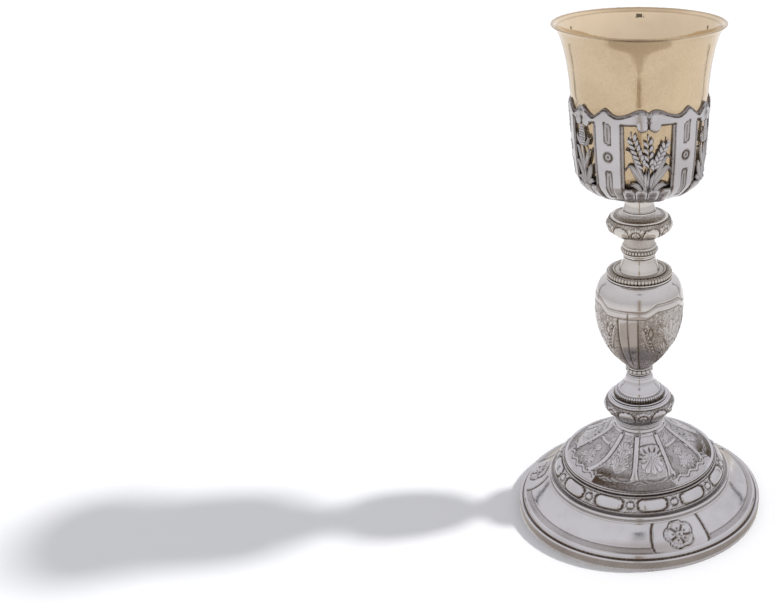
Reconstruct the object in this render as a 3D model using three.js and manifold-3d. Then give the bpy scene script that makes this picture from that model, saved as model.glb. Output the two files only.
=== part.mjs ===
// A standing chalice: a gilt cup in a pierced silver calyx, on a stem of turned and
// ornamented knops, over a round stepped foot that is hollow below.
// Millimetres, +Z up, origin at the centre of the foot's underside, front towards -Y.
// An azimuth of 0 degrees faces the front and grows towards +X.
import * as THREE from "three";
import { mergeVertices } from "three/addons/utils/BufferGeometryUtils.js";
import Module from "manifold-3d";

const wasm = await Module();
wasm.setup();

// Fit and fineness of the turned forms
const SEAT_GAP = 0.3;
const STEM_FACETS = 20;
const VASE_FACETS = 24;
const CUP_FACETS = 28;
const CALYX_FACETS = 30;
const FOOT_FACETS = 28;
const RELIEF_ROOT = 0.6;

// The whole
const CHALICE_HEIGHT = 285;

// Foot: standing edge, apron, steps, band and dome
const FOOT_RADIUS = 72.2;
const FOOT_EDGE_HEIGHT = 7;
const FOOT_WALL = 1.6;
const STANDING_RING_WIDTH = 3.2;
const EDGE_GROOVE_WIDTH = 1.4;
const EDGE_GROOVE_DEPTH = 0.7;
const APRON_BASE_RADIUS = 69.4;
const APRON_TOP_RADIUS = 54.6;
const APRON_RISE = 11.4;
const APRON_HOLLOW = 0.5;
const STEP_RISE = 3.4;
const BAND_BASE_RADIUS = 51;
const BAND_TOP_RADIUS = 45;
const BAND_RISE = 8.3;
const BAND_SWELL = 0.5;
const DOME_BEAD_RADIUS = 43.4;
const DOME_BEAD_RISE = 2.1;
const DOME_BASE_RADIUS = 42.4;
const DOME_TOP_RADIUS = 14.3;
const DOME_RISE = 20.5;
const DOME_CURVE = [[0, 0], [0.38, 0.32], [0.8, 0.72], [1, 1]];

// Foot ornament
const FOOT_BARS = 12;
const FOOT_BAR_ANGLE = 18.5;
const FOOT_BAR_START = 9;
const FOOT_BAR_RAISE = 0.9;
const FOOT_BAR_END_RAISE = 0.54;
const FOOT_BAR_SPAN = [0.18, 0.74];
const DOME_RIB_WIDTH = 3.4;
const DOME_RIB_RAISE = 0.8;
const DOME_RIB_AZIMUTHS = [-4.5, -42, 32];
const DOME_RIB_SWINGS = [0, -13, 22];
const DOME_RIB_SPAN = [0.06, 0.94];
const CARTOUCHE_AZIMUTH = 55.5;
const CARTOUCHE_ANGLE = 44;
const CARTOUCHE_RAISE = 0.7;
const CARTOUCHE_SPAN = [0.1, 0.62];
const CARTOUCHE_WAVE = 0.28;
const CARTOUCHE_CORNER_FALL = 0.6;
const FLOWER_AZIMUTH = 21.5;
const FLOWER_PANEL_ANGLE = 30.5;
const FLOWER_RADIUS = 8.4;
const FLOWER_PETALS = 5;
const FLOWER_RAISE = 0.9;
const PETAL_NOTCH = 0.72;
const PANEL_BORDER_WIDTH = 1.2;
const PANEL_BORDER_RAISE = 0.45;
const PANEL_BORDER_BOW = 0.1;
const PANEL_BORDER_SPAN = [0.02, 0.98];

// Lower knop with its ringed collar
const COLLAR_RADIUS = 14.2;
const COLLAR_HEIGHT = 2.6;
const COLLAR_RING_HEIGHT = 2;
const COLLAR_RING_RADIUS = 13.7;
const LOWER_KNOP_RADIUS = 19.5;
const LOWER_KNOP_UNDERSIDE = 9.7;
const LOWER_KNOP_SHOULDER = 4.2;
const LOWER_KNOP_TOP_RADIUS = 16.6;
const KNOP_BARS = 6;
const LOWER_BAR_START = 37;
const LOWER_BAR_ANGLE = 27;
const KNOP_BAR_RAISE = 0.7;
const KNOP_BAR_END_RAISE = 0.21;
const KNOP_BAR_SPAN = [0.18, 0.8];

// Lower bell with its reeded ring
const REED_RING_RADIUS = 14.2;
const REED_RING_HEIGHT = 3.4;
const LOWER_BELL_RADIUS = 12;
const LOWER_BELL_NECK_RADIUS = 6.9;
const LOWER_BELL_HEIGHT = 10.6;

// Vase knop with its bead collar
const BEAD_COLLAR_RADIUS = 7.2;
const BEAD_COLLAR_HEIGHT = 4.2;
const VASE_STALK_RADIUS = 6.9;
const VASE_RADIUS = 24.8;
const VASE_BELLY_RISE = 41;
const VASE_SHOULDER_RISE = 14.5;
const VASE_TOP_RADIUS = 18.4;

// Upper bell with its beaded girdle
const GIRDLE_RADIUS = 17.4;
const GIRDLE_HEIGHT = 3.6;
const UPPER_BELL_RADIUS = 12.4;
const UPPER_BELL_NECK_RADIUS = 8.4;
const UPPER_BELL_HEIGHT = 8.1;

// Upper knop with its spool and beaded collar
const SPOOL_RADIUS = 8.7;
const SPOOL_HEIGHT = 5.3;
const BEADED_COLLAR_RADIUS = 10.2;
const BEADED_COLLAR_HEIGHT = 6.7;
const UPPER_KNOP_RADIUS = 17.5;
const UPPER_KNOP_UNDERSIDE = 7.2;
const UPPER_KNOP_SHOULDER = 3.6;
const UPPER_KNOP_TOP_RADIUS = 13.6;
const UPPER_KNOP_CAP_RISE = 3.6;
const UPPER_BAR_START = 23.5;
const UPPER_BAR_ANGLE = 26;

// Neck
const NECK_BASE_RADIUS = 8.9;
const NECK_TOP_RADIUS = 7.7;
const NECK_HEIGHT = 9.1;

// Calyx
const CALYX_FLOOR_RADIUS = 14;
const CALYX_RADIUS = 34.4;
const CALYX_BOWL_RISE = 17;
const CALYX_BAND_RADIUS = 36.65;
const CALYX_BAND_RISE = 30;
const CALYX_WALL = 0.9;
const CALYX_EDGE_RISE = 2.4;
const CREST_SWELL = 3.8;
const SCROLL_ANGLE = 9;
const SCROLL_SPREAD = 7;
const CREST_SPREAD = 6;
const REED_CREST_SPREAD = 9;
const PANELS = 3;
const WHEAT_AZIMUTH = 7.5;
const WHEAT_OPENING_ANGLE = 45;
const REED_OPENING_ANGLE = 30;
const OPENING_SILL = 12.5;
const OPENING_RISE = 32.5;
const SCROLL_DROP = 2;
const OPENING_CUT_SHARE = 0.3;
const PILASTER_OFFSET = 34;
const PILASTER_BAR_ANGLE = 3.4;
const PILASTER_BAR_RISE = 10;
const PILASTER_BAR_INSET = 0.04;
const PILASTER_RAISE = 0.4;
const MOTIF_RAISE = 0.5;
const BLADE_ROOT = 0.04;
const EAR_WIDTH = 5.4;
const EAR_LEANS = [-16, 0, 15];
const EAR_SPREADS = [0.3, 0.35, 1, 0.4];
const WHEAT_LEAF_WIDTH = 4.4;
const WHEAT_LEAF_LEANS = [-17, 16];
const WHEAT_LEAF_TOP = 0.5;
const LEAF_SPREADS = [0.5, 1, 0.15];
const LEAF_START = 0.2;
const REED_WIDTH = 6.5;
const REED_SPREADS = [0.3, 0.35, 1, 0.5];
const REED_LEAF_WIDTH = 5;
const REED_LEAF_LEANS = [-10, 10];
const REED_LEAF_TOP = 0.45;

// Cup
const CUP_WALL = 1.2;
const CUP_RIM_RADIUS = 45;
const CUP_FLARE_POWER = 1.7;
const CUP_FLARE_SHARES = [0.45, 0.8, 1];
const LIP_TURN_POWER = 12;
const LIP_TURN_OUT = 2.7;
const LIP_HEIGHT = 1.2;
const LIP_WIDTH = 0.5;

// Heights of the seats, from the foot up
const APRON_BASE = FOOT_EDGE_HEIGHT + EDGE_GROOVE_DEPTH;
const APRON_TOP = APRON_BASE + APRON_RISE;
const BAND_BASE = APRON_TOP + STEP_RISE;
const BAND_TOP = BAND_BASE + BAND_RISE;
const DOME_BASE = BAND_TOP + DOME_BEAD_RISE;
const FOOT_TOP = DOME_BASE + DOME_RISE;
const LOWER_KNOP_SEAT = FOOT_TOP + SEAT_GAP;
const LOWER_KNOP_TORUS = LOWER_KNOP_SEAT + COLLAR_HEIGHT + COLLAR_RING_HEIGHT;
const LOWER_KNOP_TOP = LOWER_KNOP_TORUS + LOWER_KNOP_UNDERSIDE + LOWER_KNOP_SHOULDER;
const LOWER_BELL_SEAT = LOWER_KNOP_TOP + SEAT_GAP;
const LOWER_BELL_TOP = LOWER_BELL_SEAT + REED_RING_HEIGHT + LOWER_BELL_HEIGHT;
const VASE_SEAT = LOWER_BELL_TOP + SEAT_GAP;
const VASE_STALK_TOP = VASE_SEAT + BEAD_COLLAR_HEIGHT;
const VASE_BELLY = VASE_STALK_TOP + VASE_BELLY_RISE;
const VASE_TOP = VASE_BELLY + VASE_SHOULDER_RISE;
const UPPER_BELL_SEAT = VASE_TOP + SEAT_GAP;
const UPPER_BELL_TOP = UPPER_BELL_SEAT + GIRDLE_HEIGHT + UPPER_BELL_HEIGHT;
const UPPER_KNOP_SEAT = UPPER_BELL_TOP + SEAT_GAP;
const UPPER_KNOP_TORUS = UPPER_KNOP_SEAT + BEADED_COLLAR_HEIGHT + SPOOL_HEIGHT;
const UPPER_KNOP_CAP = UPPER_KNOP_TORUS + UPPER_KNOP_UNDERSIDE + UPPER_KNOP_SHOULDER;
const UPPER_KNOP_TOP = UPPER_KNOP_CAP + UPPER_KNOP_CAP_RISE;
const NECK_SEAT = UPPER_KNOP_TOP + SEAT_GAP;
const NECK_TOP = NECK_SEAT + NECK_HEIGHT;
const CALYX_SEAT = NECK_TOP + SEAT_GAP;
const CALYX_BAND_BASE = CALYX_SEAT + CALYX_BOWL_RISE;
const CALYX_BAND_TOP = CALYX_BAND_BASE + CALYX_BAND_RISE;
const CALYX_EDGE = CALYX_BAND_TOP + CALYX_EDGE_RISE;
const CUP_WAIST = CALYX_EDGE + CREST_SWELL;
const CUP_FLARE_RISE = CHALICE_HEIGHT - LIP_HEIGHT - CUP_WAIST;

const radians = THREE.MathUtils.degToRad;
const point = (radius, height) => new THREE.Vector2(radius, height);

// A point at a radius, an azimuth in degrees and a height
function polar(radius, azimuth, height) {
  const angle = radians(azimuth);
  return new THREE.Vector3(radius * Math.sin(angle), -radius * Math.cos(angle), height);
}

// Outlines run up the outside of a piece. A stretch is drawn on to the last point.
// A quarter of an ellipse that leaves upright and arrives level, or the other way round
function quarter(outline, radius, height, leavesUpright, steps = 3) {
  const from = outline.at(-1);
  const across = radius - from.x;
  const up = height - from.y;
  for (let step = 1; step <= steps; step++) {
    const angle = (step / steps) * (Math.PI / 2);
    const [bow, rise] = [1 - Math.cos(angle), Math.sin(angle)];
    const shares = leavesUpright ? [bow, rise] : [rise, bow];
    outline.push(point(from.x + across * shares[0], from.y + up * shares[1]));
  }
}

// A free curve through shares of the way from the last point to a new one
function swept(outline, radius, height, shares, steps) {
  const from = outline.at(-1);
  const curve = new THREE.SplineCurve(shares.map(([across, up]) => point(across, up)));
  curve.getPoints(steps).slice(1).forEach((share) => {
    outline.push(point(
      from.x + (radius - from.x) * share.x,
      from.y + (height - from.y) * share.y,
    ));
  });
}

// The outward normal of the stretch between two points of an outline
function normalOf(from, to) {
  return point(to.y - from.y, from.x - to.x).normalize();
}

// The same outline moved inwards by a wall, its corners mitred
function inset(outline, wall) {
  return outline.map((here, index) => {
    const before = index > 0 ? normalOf(outline[index - 1], here) : null;
    const after = index < outline.length - 1 ? normalOf(here, outline[index + 1]) : null;
    const normal = (before ?? after).clone().add(after ?? before).normalize();
    const depth = wall / Math.max(normal.dot(before ?? after), 0.5);
    return point(Math.max(here.x - normal.x * depth, 0), here.y - normal.y * depth);
  });
}

// The place and the outward normal at a share of an outline's length
function onOutline(outline, share) {
  const lengths = outline.slice(1).map((to, index) => to.distanceTo(outline[index]));
  let left = share * lengths.reduce((sum, length) => sum + length, 0);
  let index = 0;
  while (index < lengths.length - 1 && left > lengths[index]) {
    left -= lengths[index];
    index += 1;
  }
  const [from, to] = [outline[index], outline[index + 1]];
  const place = from.clone().lerp(to, left / lengths[index]);
  return { place, normal: normalOf(from, to) };
}

// A closed geometry as a solid that can be joined and cut
function solidOf(geometry) {
  const bare = geometry.clone();
  bare.deleteAttribute("normal");
  bare.deleteAttribute("uv");
  const merged = mergeVertices(bare, 1e-4);
  const corners = [...merged.index.array];
  const kept = [];
  for (let i = 0; i < corners.length; i += 3) {
    const [a, b, c] = corners.slice(i, i + 3);
    if (a !== b && b !== c && c !== a) kept.push(a, b, c);
  }
  return new wasm.Manifold(new wasm.Mesh({
    numProp: 3,
    vertProperties: new Float32Array(merged.attributes.position.array),
    triVerts: new Uint32Array(kept),
  }));
}

function turned(outline, facets, firstAzimuth = 0) {
  const lathe = new THREE.LatheGeometry(outline, facets, radians(firstAzimuth));
  return lathe.rotateX(Math.PI / 2);
}

// A patch that lies on a turned surface and stands out from it. Across it runs from -1
// to 1 and along it from 0 to 1. The shape gives each place an azimuth in degrees, a
// share of the outline's length and how far it stands out there.
function patch(outline, columns, rows, shape, root = RELIEF_ROOT) {
  const box = new THREE.BoxGeometry(2, 1, 1, columns, rows, 1);
  const places = box.attributes.position;
  for (let i = 0; i < places.count; i++) {
    const { azimuth, share, raise } = shape(places.getX(i), places.getY(i) + 0.5);
    const { place, normal } = onOutline(outline, share);
    const lift = places.getZ(i) > 0 ? raise : -root;
    const spot = polar(place.x + normal.x * lift, azimuth, place.y + normal.y * lift);
    places.setXYZ(i, spot.x, spot.y, spot.z);
  }
  return solidOf(box);
}

// A disc, star or boss on a turned surface, about a place on it. Each of its corners
// has a reach from the middle, and the middle of its face stands out by the raise.
function disc(outline, azimuth, share, corners, reach, raise, root = RELIEF_ROOT) {
  const cylinder = new THREE.CylinderGeometry(1, 1, 1, corners, 1);
  const places = cylinder.attributes.position;
  const centre = onOutline(outline, share);
  const length = outline.slice(1).reduce((sum, to, i) => sum + to.distanceTo(outline[i]), 0);
  for (let i = 0; i < places.count; i++) {
    const [right, up] = [places.getX(i), -places.getZ(i)];
    const middle = Math.hypot(right, up) < 0.5;
    const corner = Math.round((Math.atan2(up, right) / (2 * Math.PI) + 1) * corners) % corners;
    const out = middle ? 0 : reach(corner);
    const { place, normal } = onOutline(outline, share + (up * out) / length);
    const lift = places.getY(i) > 0 ? raise * (middle ? 1 : 0.5) : -root;
    const turn = azimuth + degreesOf(right * out, centre.place.x);
    const spot = polar(place.x + normal.x * lift, turn, place.y + normal.y * lift);
    places.setXYZ(i, spot.x, spot.y, spot.z);
  }
  return solidOf(cylinder);
}

function joinAll(body, additions) {
  return additions.reduce((joined, addition) => joined.add(addition), body);
}

// How many degrees a length takes up at a radius
const degreesOf = (length, radius) => THREE.MathUtils.radToDeg(length / radius);

// The half-width of an oval, as a share, at a place from 0 to 1 along it
const ovalShare = (along) => Math.sqrt(Math.max(1 - (2 * along - 1) ** 2, 0.04));

// The share of an outline at a place from 0 to 1 along a span of it
const inSpan = (span, along) => THREE.MathUtils.lerp(span[0], span[1], along);

// Materials
function metal(colour, roughness) {
  return new THREE.MeshStandardMaterial({ color: colour, roughness, metalness: 1 });
}
const gilt = metal(0xd9c08a, 0.22);
const silver = metal(0xb9b6b8, 0.3);

const chalice = new THREE.Group();

function addPiece(name, solid, material) {
  const made = solid.getMesh();
  const geometry = new THREE.BufferGeometry();
  geometry.setAttribute("position", new THREE.BufferAttribute(made.vertProperties, 3));
  geometry.setIndex(new THREE.BufferAttribute(made.triVerts, 1));
  geometry.computeVertexNormals();
  const mesh = new THREE.Mesh(geometry, material);
  mesh.name = name;
  chalice.add(mesh);
}

// Foot
function apronOutline() {
  const outline = [point(APRON_BASE_RADIUS, APRON_BASE)];
  const middle = [(APRON_BASE_RADIUS + APRON_TOP_RADIUS) / 2, (APRON_BASE + APRON_TOP) / 2];
  const normal = normalOf(outline[0], point(APRON_TOP_RADIUS, APRON_TOP));
  outline.push(point(middle[0] - normal.x * APRON_HOLLOW, middle[1] - normal.y * APRON_HOLLOW));
  outline.push(point(APRON_TOP_RADIUS, APRON_TOP));
  return outline;
}

function bandOutline() {
  const [from, to] = [point(BAND_BASE_RADIUS, BAND_BASE), point(BAND_TOP_RADIUS, BAND_TOP)];
  const swell = from.clone().lerp(to, 0.5).addScaledVector(normalOf(from, to), BAND_SWELL);
  return [from, swell, to];
}

function domeOutline() {
  const outline = [point(DOME_BASE_RADIUS, DOME_BASE)];
  swept(outline, DOME_TOP_RADIUS, FOOT_TOP, DOME_CURVE, 3);
  return outline;
}

function footOutline() {
  const edgeTop = FOOT_EDGE_HEIGHT;
  const groove = APRON_BASE_RADIUS + EDGE_GROOVE_WIDTH;
  const outline = [point(FOOT_RADIUS, 0), point(FOOT_RADIUS, edgeTop - EDGE_GROOVE_DEPTH)];
  outline.push(point((FOOT_RADIUS + groove) / 2, edgeTop));
  outline.push(point(groove, edgeTop - EDGE_GROOVE_DEPTH));
  outline.push(...apronOutline());
  const stepRadius = (APRON_TOP_RADIUS + BAND_BASE_RADIUS) / 2;
  outline.push(point(stepRadius, APRON_TOP + STEP_RISE / 4));
  outline.push(point(stepRadius, BAND_BASE - STEP_RISE / 4));
  outline.push(...bandOutline());
  outline.push(point(DOME_BEAD_RADIUS, BAND_TOP + DOME_BEAD_RISE / 3));
  outline.push(...domeOutline());
  return outline;
}

function footHollow() {
  const lines = [
    point(FOOT_RADIUS, FOOT_EDGE_HEIGHT - EDGE_GROOVE_DEPTH),
    point(APRON_BASE_RADIUS, APRON_BASE),
    point(APRON_TOP_RADIUS, APRON_TOP),
    point(BAND_BASE_RADIUS, BAND_BASE),
    point(BAND_TOP_RADIUS, BAND_TOP),
    domeOutline()[2],
    point(DOME_TOP_RADIUS, FOOT_TOP),
    point(0, FOOT_TOP),
  ];
  const hollow = inset(lines, FOOT_WALL).slice(1);
  const ring = FOOT_RADIUS - STANDING_RING_WIDTH;
  return [point(ring, 0), point(ring, hollow[0].y), ...hollow.slice(1)];
}

function footBar(index) {
  const turn = FOOT_BAR_START + (360 / FOOT_BARS) * index;
  const band = bandOutline();
  return patch(band, 2, 1, (across, along) => ({
    azimuth: turn + across * (FOOT_BAR_ANGLE / 2),
    share: inSpan(FOOT_BAR_SPAN, along),
    raise: across === 0 ? FOOT_BAR_RAISE : FOOT_BAR_END_RAISE,
  }));
}

function domeOrnament(turn) {
  const dome = domeOutline();
  const ribs = DOME_RIB_AZIMUTHS.map((start, index) => patch(dome, 1, 2, (across, along) => ({
    azimuth: start + turn + DOME_RIB_SWINGS[index] * (1 - along) ** 2
      + across * degreesOf(DOME_RIB_WIDTH / 2, onOutline(dome, along).place.x),
    share: inSpan(DOME_RIB_SPAN, along),
    raise: DOME_RIB_RAISE,
  })));
  const wave = (along) => 1 - CARTOUCHE_WAVE * (1 - Math.cos(along * Math.PI * 4));
  const cartouche = patch(dome, 2, 2, (across, along) => ({
    azimuth: CARTOUCHE_AZIMUTH + turn + across * (CARTOUCHE_ANGLE / 2) * wave(along * 0.75),
    share: inSpan(CARTOUCHE_SPAN, along),
    raise: CARTOUCHE_RAISE
      * (1 - CARTOUCHE_CORNER_FALL * Math.abs(across) * Math.abs(2 * along - 1)),
  }));
  return [...ribs, cartouche];
}

function flowerPanel(turn) {
  const apron = apronOutline();
  const radius = (APRON_BASE_RADIUS + APRON_TOP_RADIUS) / 2;
  const centre = FLOWER_AZIMUTH + turn;
  const borders = [-1, 1].map((side) => patch(apron, 1, 2, (across, along) => ({
    azimuth: centre + across * degreesOf(PANEL_BORDER_WIDTH / 2, radius)
      + side * (FLOWER_PANEL_ANGLE / 2) * (1 - PANEL_BORDER_BOW * (1 - ovalShare(along))),
    share: inSpan(PANEL_BORDER_SPAN, along),
    raise: PANEL_BORDER_RAISE,
  })));
  const flower = disc(apron, centre, 0.5, FLOWER_PETALS * 2,
    (corner) => FLOWER_RADIUS * (corner % 2 === 0 ? 1 : PETAL_NOTCH), FLOWER_RAISE);
  return [...borders, flower];
}

function foot() {
  const shell = turned([...footOutline(), point(0, FOOT_TOP), ...footHollow().reverse(),
    point(FOOT_RADIUS, 0)], FOOT_FACETS);
  const ornament = [];
  for (let index = 0; index < FOOT_BARS; index++) ornament.push(footBar(index));
  for (let turn = 0; turn < 360; turn += 120) {
    ornament.push(...domeOrnament(turn), ...flowerPanel(turn));
  }
  return joinAll(solidOf(shell), ornament);
}

// The oval bars round a ring knop
function knopBars(torus, start, barAngle) {
  return Array.from({ length: KNOP_BARS }, (_, index) => {
    const centre = start + (360 / KNOP_BARS) * index;
    return patch(torus, 1, 2, (across, along) => ({
      azimuth: centre + across * (barAngle / 2) * ovalShare(along),
      share: inSpan(KNOP_BAR_SPAN, along),
      raise: along === 0.5 ? KNOP_BAR_RAISE : KNOP_BAR_END_RAISE,
    }));
  });
}

function torusOutline(neckRadius, base, radius, underside, shoulder, topRadius) {
  const outline = [point(neckRadius, base)];
  quarter(outline, radius, base + underside, false);
  quarter(outline, topRadius, base + underside + shoulder, true, 2);
  return outline;
}

function lowerKnop() {
  const torus = torusOutline(COLLAR_RING_RADIUS, LOWER_KNOP_TORUS, LOWER_KNOP_RADIUS,
    LOWER_KNOP_UNDERSIDE, LOWER_KNOP_SHOULDER, LOWER_KNOP_TOP_RADIUS);
  const outline = [point(0, LOWER_KNOP_SEAT), point(COLLAR_RADIUS, LOWER_KNOP_SEAT)];
  outline.push(point(COLLAR_RING_RADIUS, LOWER_KNOP_SEAT + COLLAR_HEIGHT));
  outline.push(point(COLLAR_RADIUS, LOWER_KNOP_SEAT + COLLAR_HEIGHT + COLLAR_RING_HEIGHT / 2));
  outline.push(...torus, point(0, LOWER_KNOP_TOP));
  return joinAll(solidOf(turned(outline, STEM_FACETS)),
    knopBars(torus, LOWER_BAR_START, LOWER_BAR_ANGLE));
}

function lowerBell() {
  const ringTop = LOWER_BELL_SEAT + REED_RING_HEIGHT;
  const outline = [point(0, LOWER_BELL_SEAT), point(REED_RING_RADIUS, LOWER_BELL_SEAT)];
  outline.push(point(REED_RING_RADIUS, LOWER_BELL_SEAT + REED_RING_HEIGHT / 2));
  outline.push(point(LOWER_BELL_RADIUS, ringTop));
  quarter(outline, LOWER_BELL_NECK_RADIUS, LOWER_BELL_TOP, false, 4);
  outline.push(point(0, LOWER_BELL_TOP));
  return solidOf(turned(outline, STEM_FACETS));
}

function vaseBody() {
  const outline = [point(VASE_STALK_RADIUS, VASE_STALK_TOP)];
  quarter(outline, VASE_RADIUS, VASE_BELLY, false, 6);
  quarter(outline, VASE_TOP_RADIUS, VASE_TOP, true, 4);
  return outline;
}

function vaseKnop() {
  const body = vaseBody();
  const outline = [point(0, VASE_SEAT), point(VASE_STALK_RADIUS, VASE_SEAT)];
  outline.push(point(BEAD_COLLAR_RADIUS, VASE_SEAT + BEAD_COLLAR_HEIGHT / 2));
  outline.push(...body, point(0, VASE_TOP));
  return solidOf(turned(outline, VASE_FACETS));
}

function upperBell() {
  const girdleTop = UPPER_BELL_SEAT + GIRDLE_HEIGHT;
  const outline = [point(0, UPPER_BELL_SEAT), point(VASE_TOP_RADIUS, UPPER_BELL_SEAT)];
  outline.push(point(GIRDLE_RADIUS, UPPER_BELL_SEAT + GIRDLE_HEIGHT / 3));
  outline.push(point(GIRDLE_RADIUS, UPPER_BELL_SEAT + (GIRDLE_HEIGHT * 2) / 3));
  outline.push(point(UPPER_BELL_RADIUS, girdleTop));
  quarter(outline, UPPER_BELL_NECK_RADIUS, UPPER_BELL_TOP, false, 4);
  outline.push(point(0, UPPER_BELL_TOP));
  return solidOf(turned(outline, STEM_FACETS));
}

function upperKnop() {
  const torus = torusOutline(SPOOL_RADIUS, UPPER_KNOP_TORUS, UPPER_KNOP_RADIUS,
    UPPER_KNOP_UNDERSIDE, UPPER_KNOP_SHOULDER, UPPER_KNOP_TOP_RADIUS);
  const collarMiddle = UPPER_KNOP_SEAT + BEADED_COLLAR_HEIGHT / 2;
  const collarTop = UPPER_KNOP_SEAT + BEADED_COLLAR_HEIGHT;
  const outline = [point(0, UPPER_KNOP_SEAT), point(UPPER_BELL_NECK_RADIUS, UPPER_KNOP_SEAT)];
  outline.push(point(BEADED_COLLAR_RADIUS, collarMiddle - BEADED_COLLAR_HEIGHT / 8));
  outline.push(point(BEADED_COLLAR_RADIUS, collarMiddle + BEADED_COLLAR_HEIGHT / 8));
  outline.push(point(SPOOL_RADIUS, collarTop));
  outline.push(...torus);
  quarter(outline, NECK_BASE_RADIUS, UPPER_KNOP_TOP, false, 2);
  outline.push(point(0, UPPER_KNOP_TOP));
  return joinAll(solidOf(turned(outline, STEM_FACETS)),
    knopBars(torus, UPPER_BAR_START, UPPER_BAR_ANGLE));
}

function neck() {
  const outline = [point(0, NECK_SEAT), point(NECK_BASE_RADIUS, NECK_SEAT)];
  quarter(outline, NECK_TOP_RADIUS, NECK_TOP, false);
  outline.push(point(0, NECK_TOP));
  return solidOf(turned(outline, STEM_FACETS));
}

// Calyx
function calyxBowl() {
  const outline = [point(CALYX_FLOOR_RADIUS, CALYX_SEAT)];
  quarter(outline, CALYX_RADIUS, CALYX_BAND_BASE, false);
  return outline;
}

function calyxOutline() {
  return [...calyxBowl(), point(CALYX_BAND_RADIUS, CALYX_BAND_TOP),
    point(CALYX_BAND_RADIUS, CALYX_EDGE)];
}

// How far the scrolled top edge swells up, at an azimuth measured from a wheat panel
function crestRise(azimuth) {
  const period = 360 / PANELS;
  const away = Math.abs(azimuth - Math.round(azimuth / period) * period);
  const swell = (centre, width) => Math.exp(-(((away - centre) / width) ** 2));
  const swells = [
    swell(SCROLL_ANGLE, SCROLL_SPREAD),
    swell(PILASTER_OFFSET, CREST_SPREAD),
    swell(period / 2, REED_CREST_SPREAD),
  ];
  return CREST_SWELL * swells.reduce((sum, each) => sum + each);
}

function calyxShell() {
  const outside = calyxOutline();
  const inside = inset([point(0, CALYX_SEAT), ...outside], CALYX_WALL);
  inside.at(-1).y = CALYX_EDGE;
  const shell = turned([point(0, CALYX_SEAT), ...outside, ...inside.reverse()], CALYX_FACETS,
    WHEAT_AZIMUTH);
  const places = shell.attributes.position;
  for (let i = 0; i < places.count; i++) {
    if (Math.abs(places.getZ(i) - CALYX_EDGE) > 1e-3) continue;
    const azimuth = THREE.MathUtils.radToDeg(Math.atan2(places.getX(i), -places.getY(i)));
    places.setZ(i, CALYX_EDGE + crestRise(azimuth - WHEAT_AZIMUTH));
  }
  return solidOf(shell);
}

// A box bent round the axis that cuts one opening through the band
function opening(centre, angle) {
  const box = new THREE.BoxGeometry(2, 1, 2, 4, 1, 1);
  const places = box.attributes.position;
  for (let i = 0; i < places.count; i++) {
    const [across, along] = [places.getX(i), places.getY(i) + 0.5];
    const head = OPENING_RISE - SCROLL_DROP * Math.cos(across * Math.PI * 0.5) ** 2;
    const radius = CALYX_BAND_RADIUS * (1 + places.getZ(i) * OPENING_CUT_SHARE);
    const spot = polar(radius, centre + across * (angle / 2),
      CALYX_SEAT + OPENING_SILL + along * head);
    places.setXYZ(i, spot.x, spot.y, spot.z);
  }
  return solidOf(box);
}

// The stretch of an outline between two heights
function stretch(outline, low, high) {
  const at = (height) => {
    const above = outline.findIndex((spot) => spot.y >= height);
    const [from, to] = [outline[above - 1], outline[above]];
    return from.clone().lerp(to, (height - from.y) / (to.y - from.y));
  };
  return [at(low), ...outline.filter((spot) => spot.y > low && spot.y < high), at(high)];
}

// The outside of the band from the sill to the head of the openings
function openingStretch() {
  const sill = CALYX_SEAT + OPENING_SILL;
  return stretch(calyxOutline(), sill, sill + OPENING_RISE);
}

// A blade, ear or stalk in a panel, from its foot on the sill. The lean is in degrees,
// the top a share of the opening's height, the widths shares from foot to tip.
function blade(centre, start, lean, top, width, widths) {
  return patch(openingStretch(), 1, widths.length - 1, (across, along) => {
    const spread = widths[Math.round(along * (widths.length - 1))];
    const inSill = along === 0;
    const inHead = along === 1 && top > 1;
    return {
      azimuth: centre + THREE.MathUtils.lerp(start, lean, along)
        + across * spread * degreesOf(width / 2, CALYX_BAND_RADIUS),
      share: THREE.MathUtils.lerp(-BLADE_ROOT, top, along),
      raise: inSill || inHead ? -CALYX_WALL / 4 : MOTIF_RAISE,
    };
  }, CALYX_WALL / 2);
}

function wheatSheaf(centre) {
  const ears = EAR_LEANS.map((lean) =>
    blade(centre, lean * LEAF_START, lean, 1 + BLADE_ROOT, EAR_WIDTH, EAR_SPREADS));
  const leaves = WHEAT_LEAF_LEANS.map((lean) =>
    blade(centre, lean * LEAF_START, lean, WHEAT_LEAF_TOP, WHEAT_LEAF_WIDTH, LEAF_SPREADS));
  return [...ears, ...leaves];
}

function reedHead(centre) {
  const head = blade(centre, 0, 0, 1 + BLADE_ROOT, REED_WIDTH, REED_SPREADS);
  const leaves = REED_LEAF_LEANS.map((lean) =>
    blade(centre, lean * LEAF_START, lean, REED_LEAF_TOP, REED_LEAF_WIDTH, LEAF_SPREADS));
  return [head, ...leaves];
}

function pilaster(centre) {
  const band = openingStretch();
  const length = PILASTER_BAR_RISE / OPENING_RISE;
  const spans = [
    [PILASTER_BAR_INSET, PILASTER_BAR_INSET + length],
    [1 - PILASTER_BAR_INSET - length, 1 - PILASTER_BAR_INSET],
  ];
  return spans.map((span) => patch(band, 1, 1, (across, along) => ({
    azimuth: centre + across * (PILASTER_BAR_ANGLE / 2),
    share: inSpan(span, along),
    raise: PILASTER_RAISE,
  }), CALYX_WALL / 2));
}

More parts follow.
